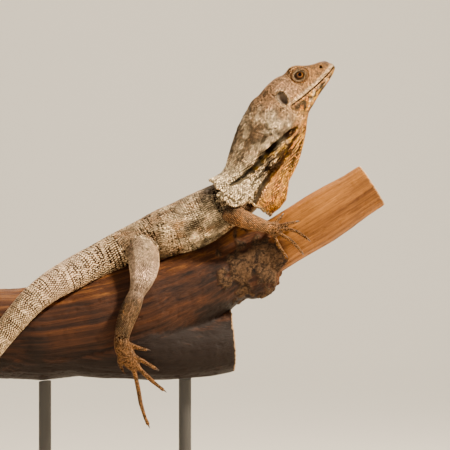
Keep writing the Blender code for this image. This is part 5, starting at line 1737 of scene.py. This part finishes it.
class LIZARD_OT_stage(bpy.types.Operator):
    """Sets the floor and backdrop, the soft lights and the camera"""

    bl_idname = "lizard.stage"
    bl_label = "Stage"

    def execute(self, context):
        stage = context.scene.lizard_stage
        material, tree, shader = new_material("Painted backdrop, matt", Roughness=0.9)
        place = add(tree, "TexCoord").outputs["Object"]
        mottle = add(tree, "TexNoise", {"Vector": place, "Scale": 3.0, "Detail": 2})
        shade = add(tree, "Mix", {"Factor": mottle, "A": (*(0.97 * c for c in stage.floor), 1),
                                  "B": (*stage.floor, 1)}, data_type="RGBA")
        plug(tree, shader, {"Base Color": shade})
        near, far, height, bend, half = -7.0, 5.0, 5.0, 1.6, 8.0
        profile = [(near, 0.0)]
        profile += [(far - bend + bend * math.sin(t), bend - bend * math.cos(t))
                    for t in np.linspace(0, math.pi / 2, 16)]
        profile.append((far, height))
        points = [(x, y, z) for y, z in profile for x in (-half, half)]
        faces = [(2 * k, 2 * k + 1, 2 * k + 3, 2 * k + 2) for k in range(len(profile) - 1)]
        floor = mesh_object("floor", points, faces, material)
        target = (0.04, 0.0, 0.33)  # the middle of the lizard's body
        soft_light("key", (1.3, -0.7, 1.85), target, 0.26, stage.key, (1.0, 0.88, 0.70))
        soft_light("fill", (-1.5, -1.5, 0.6), target, 1.4, stage.fill, (1.0, 0.95, 0.88))
        soft_light("rim", (0.7, 1.1, 1.5), target, 0.6, stage.back, (1.0, 0.90, 0.76))
        soft_light("backdrop_light", (0.0, 2.6, 4.2), (0.0, 5.0, 0.6), 2.5, stage.wall, (1.0, 0.96, 0.90))
        world = bpy.data.worlds.new("Studio")
        world.use_nodes = True
        world.node_tree.nodes["Background"].inputs["Color"].default_value = rgba("F4EFE8")
        world.node_tree.nodes["Background"].inputs["Strength"].default_value = 0.31
        context.scene.world = world
        lens = bpy.data.cameras.new("camera")
        lens.sensor_width = 36
        lens.angle = 2 * math.atan(stage.shown / 2 / stage.distance)
        camera = bpy.data.objects.new("camera", lens)
        camera.location = (stage.aim_x, -stage.distance, stage.aim_z)
        camera.rotation_euler = (math.radians(90), 0, 0)
        context.scene.collection.objects.link(camera)
        context.scene.camera = camera
        return {"FINISHED"}


class LIZARD_PT_panel(bpy.types.Panel):
    """Lists the steps that dress the lizard"""

    bl_idname = "LIZARD_PT_panel"
    bl_label = "Frilled lizard"
    bl_space_type = "VIEW_3D"
    bl_region_type = "UI"
    bl_category = "Lizard"

    def draw(self, context):
        for step in STEPS:
            self.layout.operator(step.bl_idname)


STEPS = (
    LIZARD_OT_skin, LIZARD_OT_head_scales, LIZARD_OT_body_scales, LIZARD_OT_limb_scales, LIZARD_OT_frill_scales,
    LIZARD_OT_claws, LIZARD_OT_eyes, LIZARD_OT_branch, LIZARD_OT_stand, LIZARD_OT_stage,
)
GROUPS = {
    "lizard_colours": LizardColours, "lizard_skin": LizardSkin, "lizard_scales": LizardScales,
    "lizard_branch": LizardBranch, "lizard_stage": LizardStage,
}


def register():
    for kind in (*GROUPS.values(), *STEPS, LIZARD_PT_panel):
        bpy.utils.register_class(kind)
    for name, group in GROUPS.items():
        setattr(bpy.types.Scene, name, PointerProperty(type=group))


def unregister():
    for name in GROUPS:
        delattr(bpy.types.Scene, name)
    for kind in reversed((*GROUPS.values(), *STEPS, LIZARD_PT_panel)):
        bpy.utils.unregister_class(kind)


def main():
    register()
    bpy.ops.lizard.skin()
    bpy.ops.lizard.head_scales()
    bpy.ops.lizard.body_scales()
    bpy.ops.lizard.limb_scales()
    bpy.ops.lizard.frill_scales()
    bpy.ops.lizard.claws()
    bpy.ops.lizard.eyes()
    bpy.ops.lizard.branch()
    bpy.ops.lizard.stand()
    bpy.ops.lizard.stage()
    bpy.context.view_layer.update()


if __name__ == "__main__":
    main()
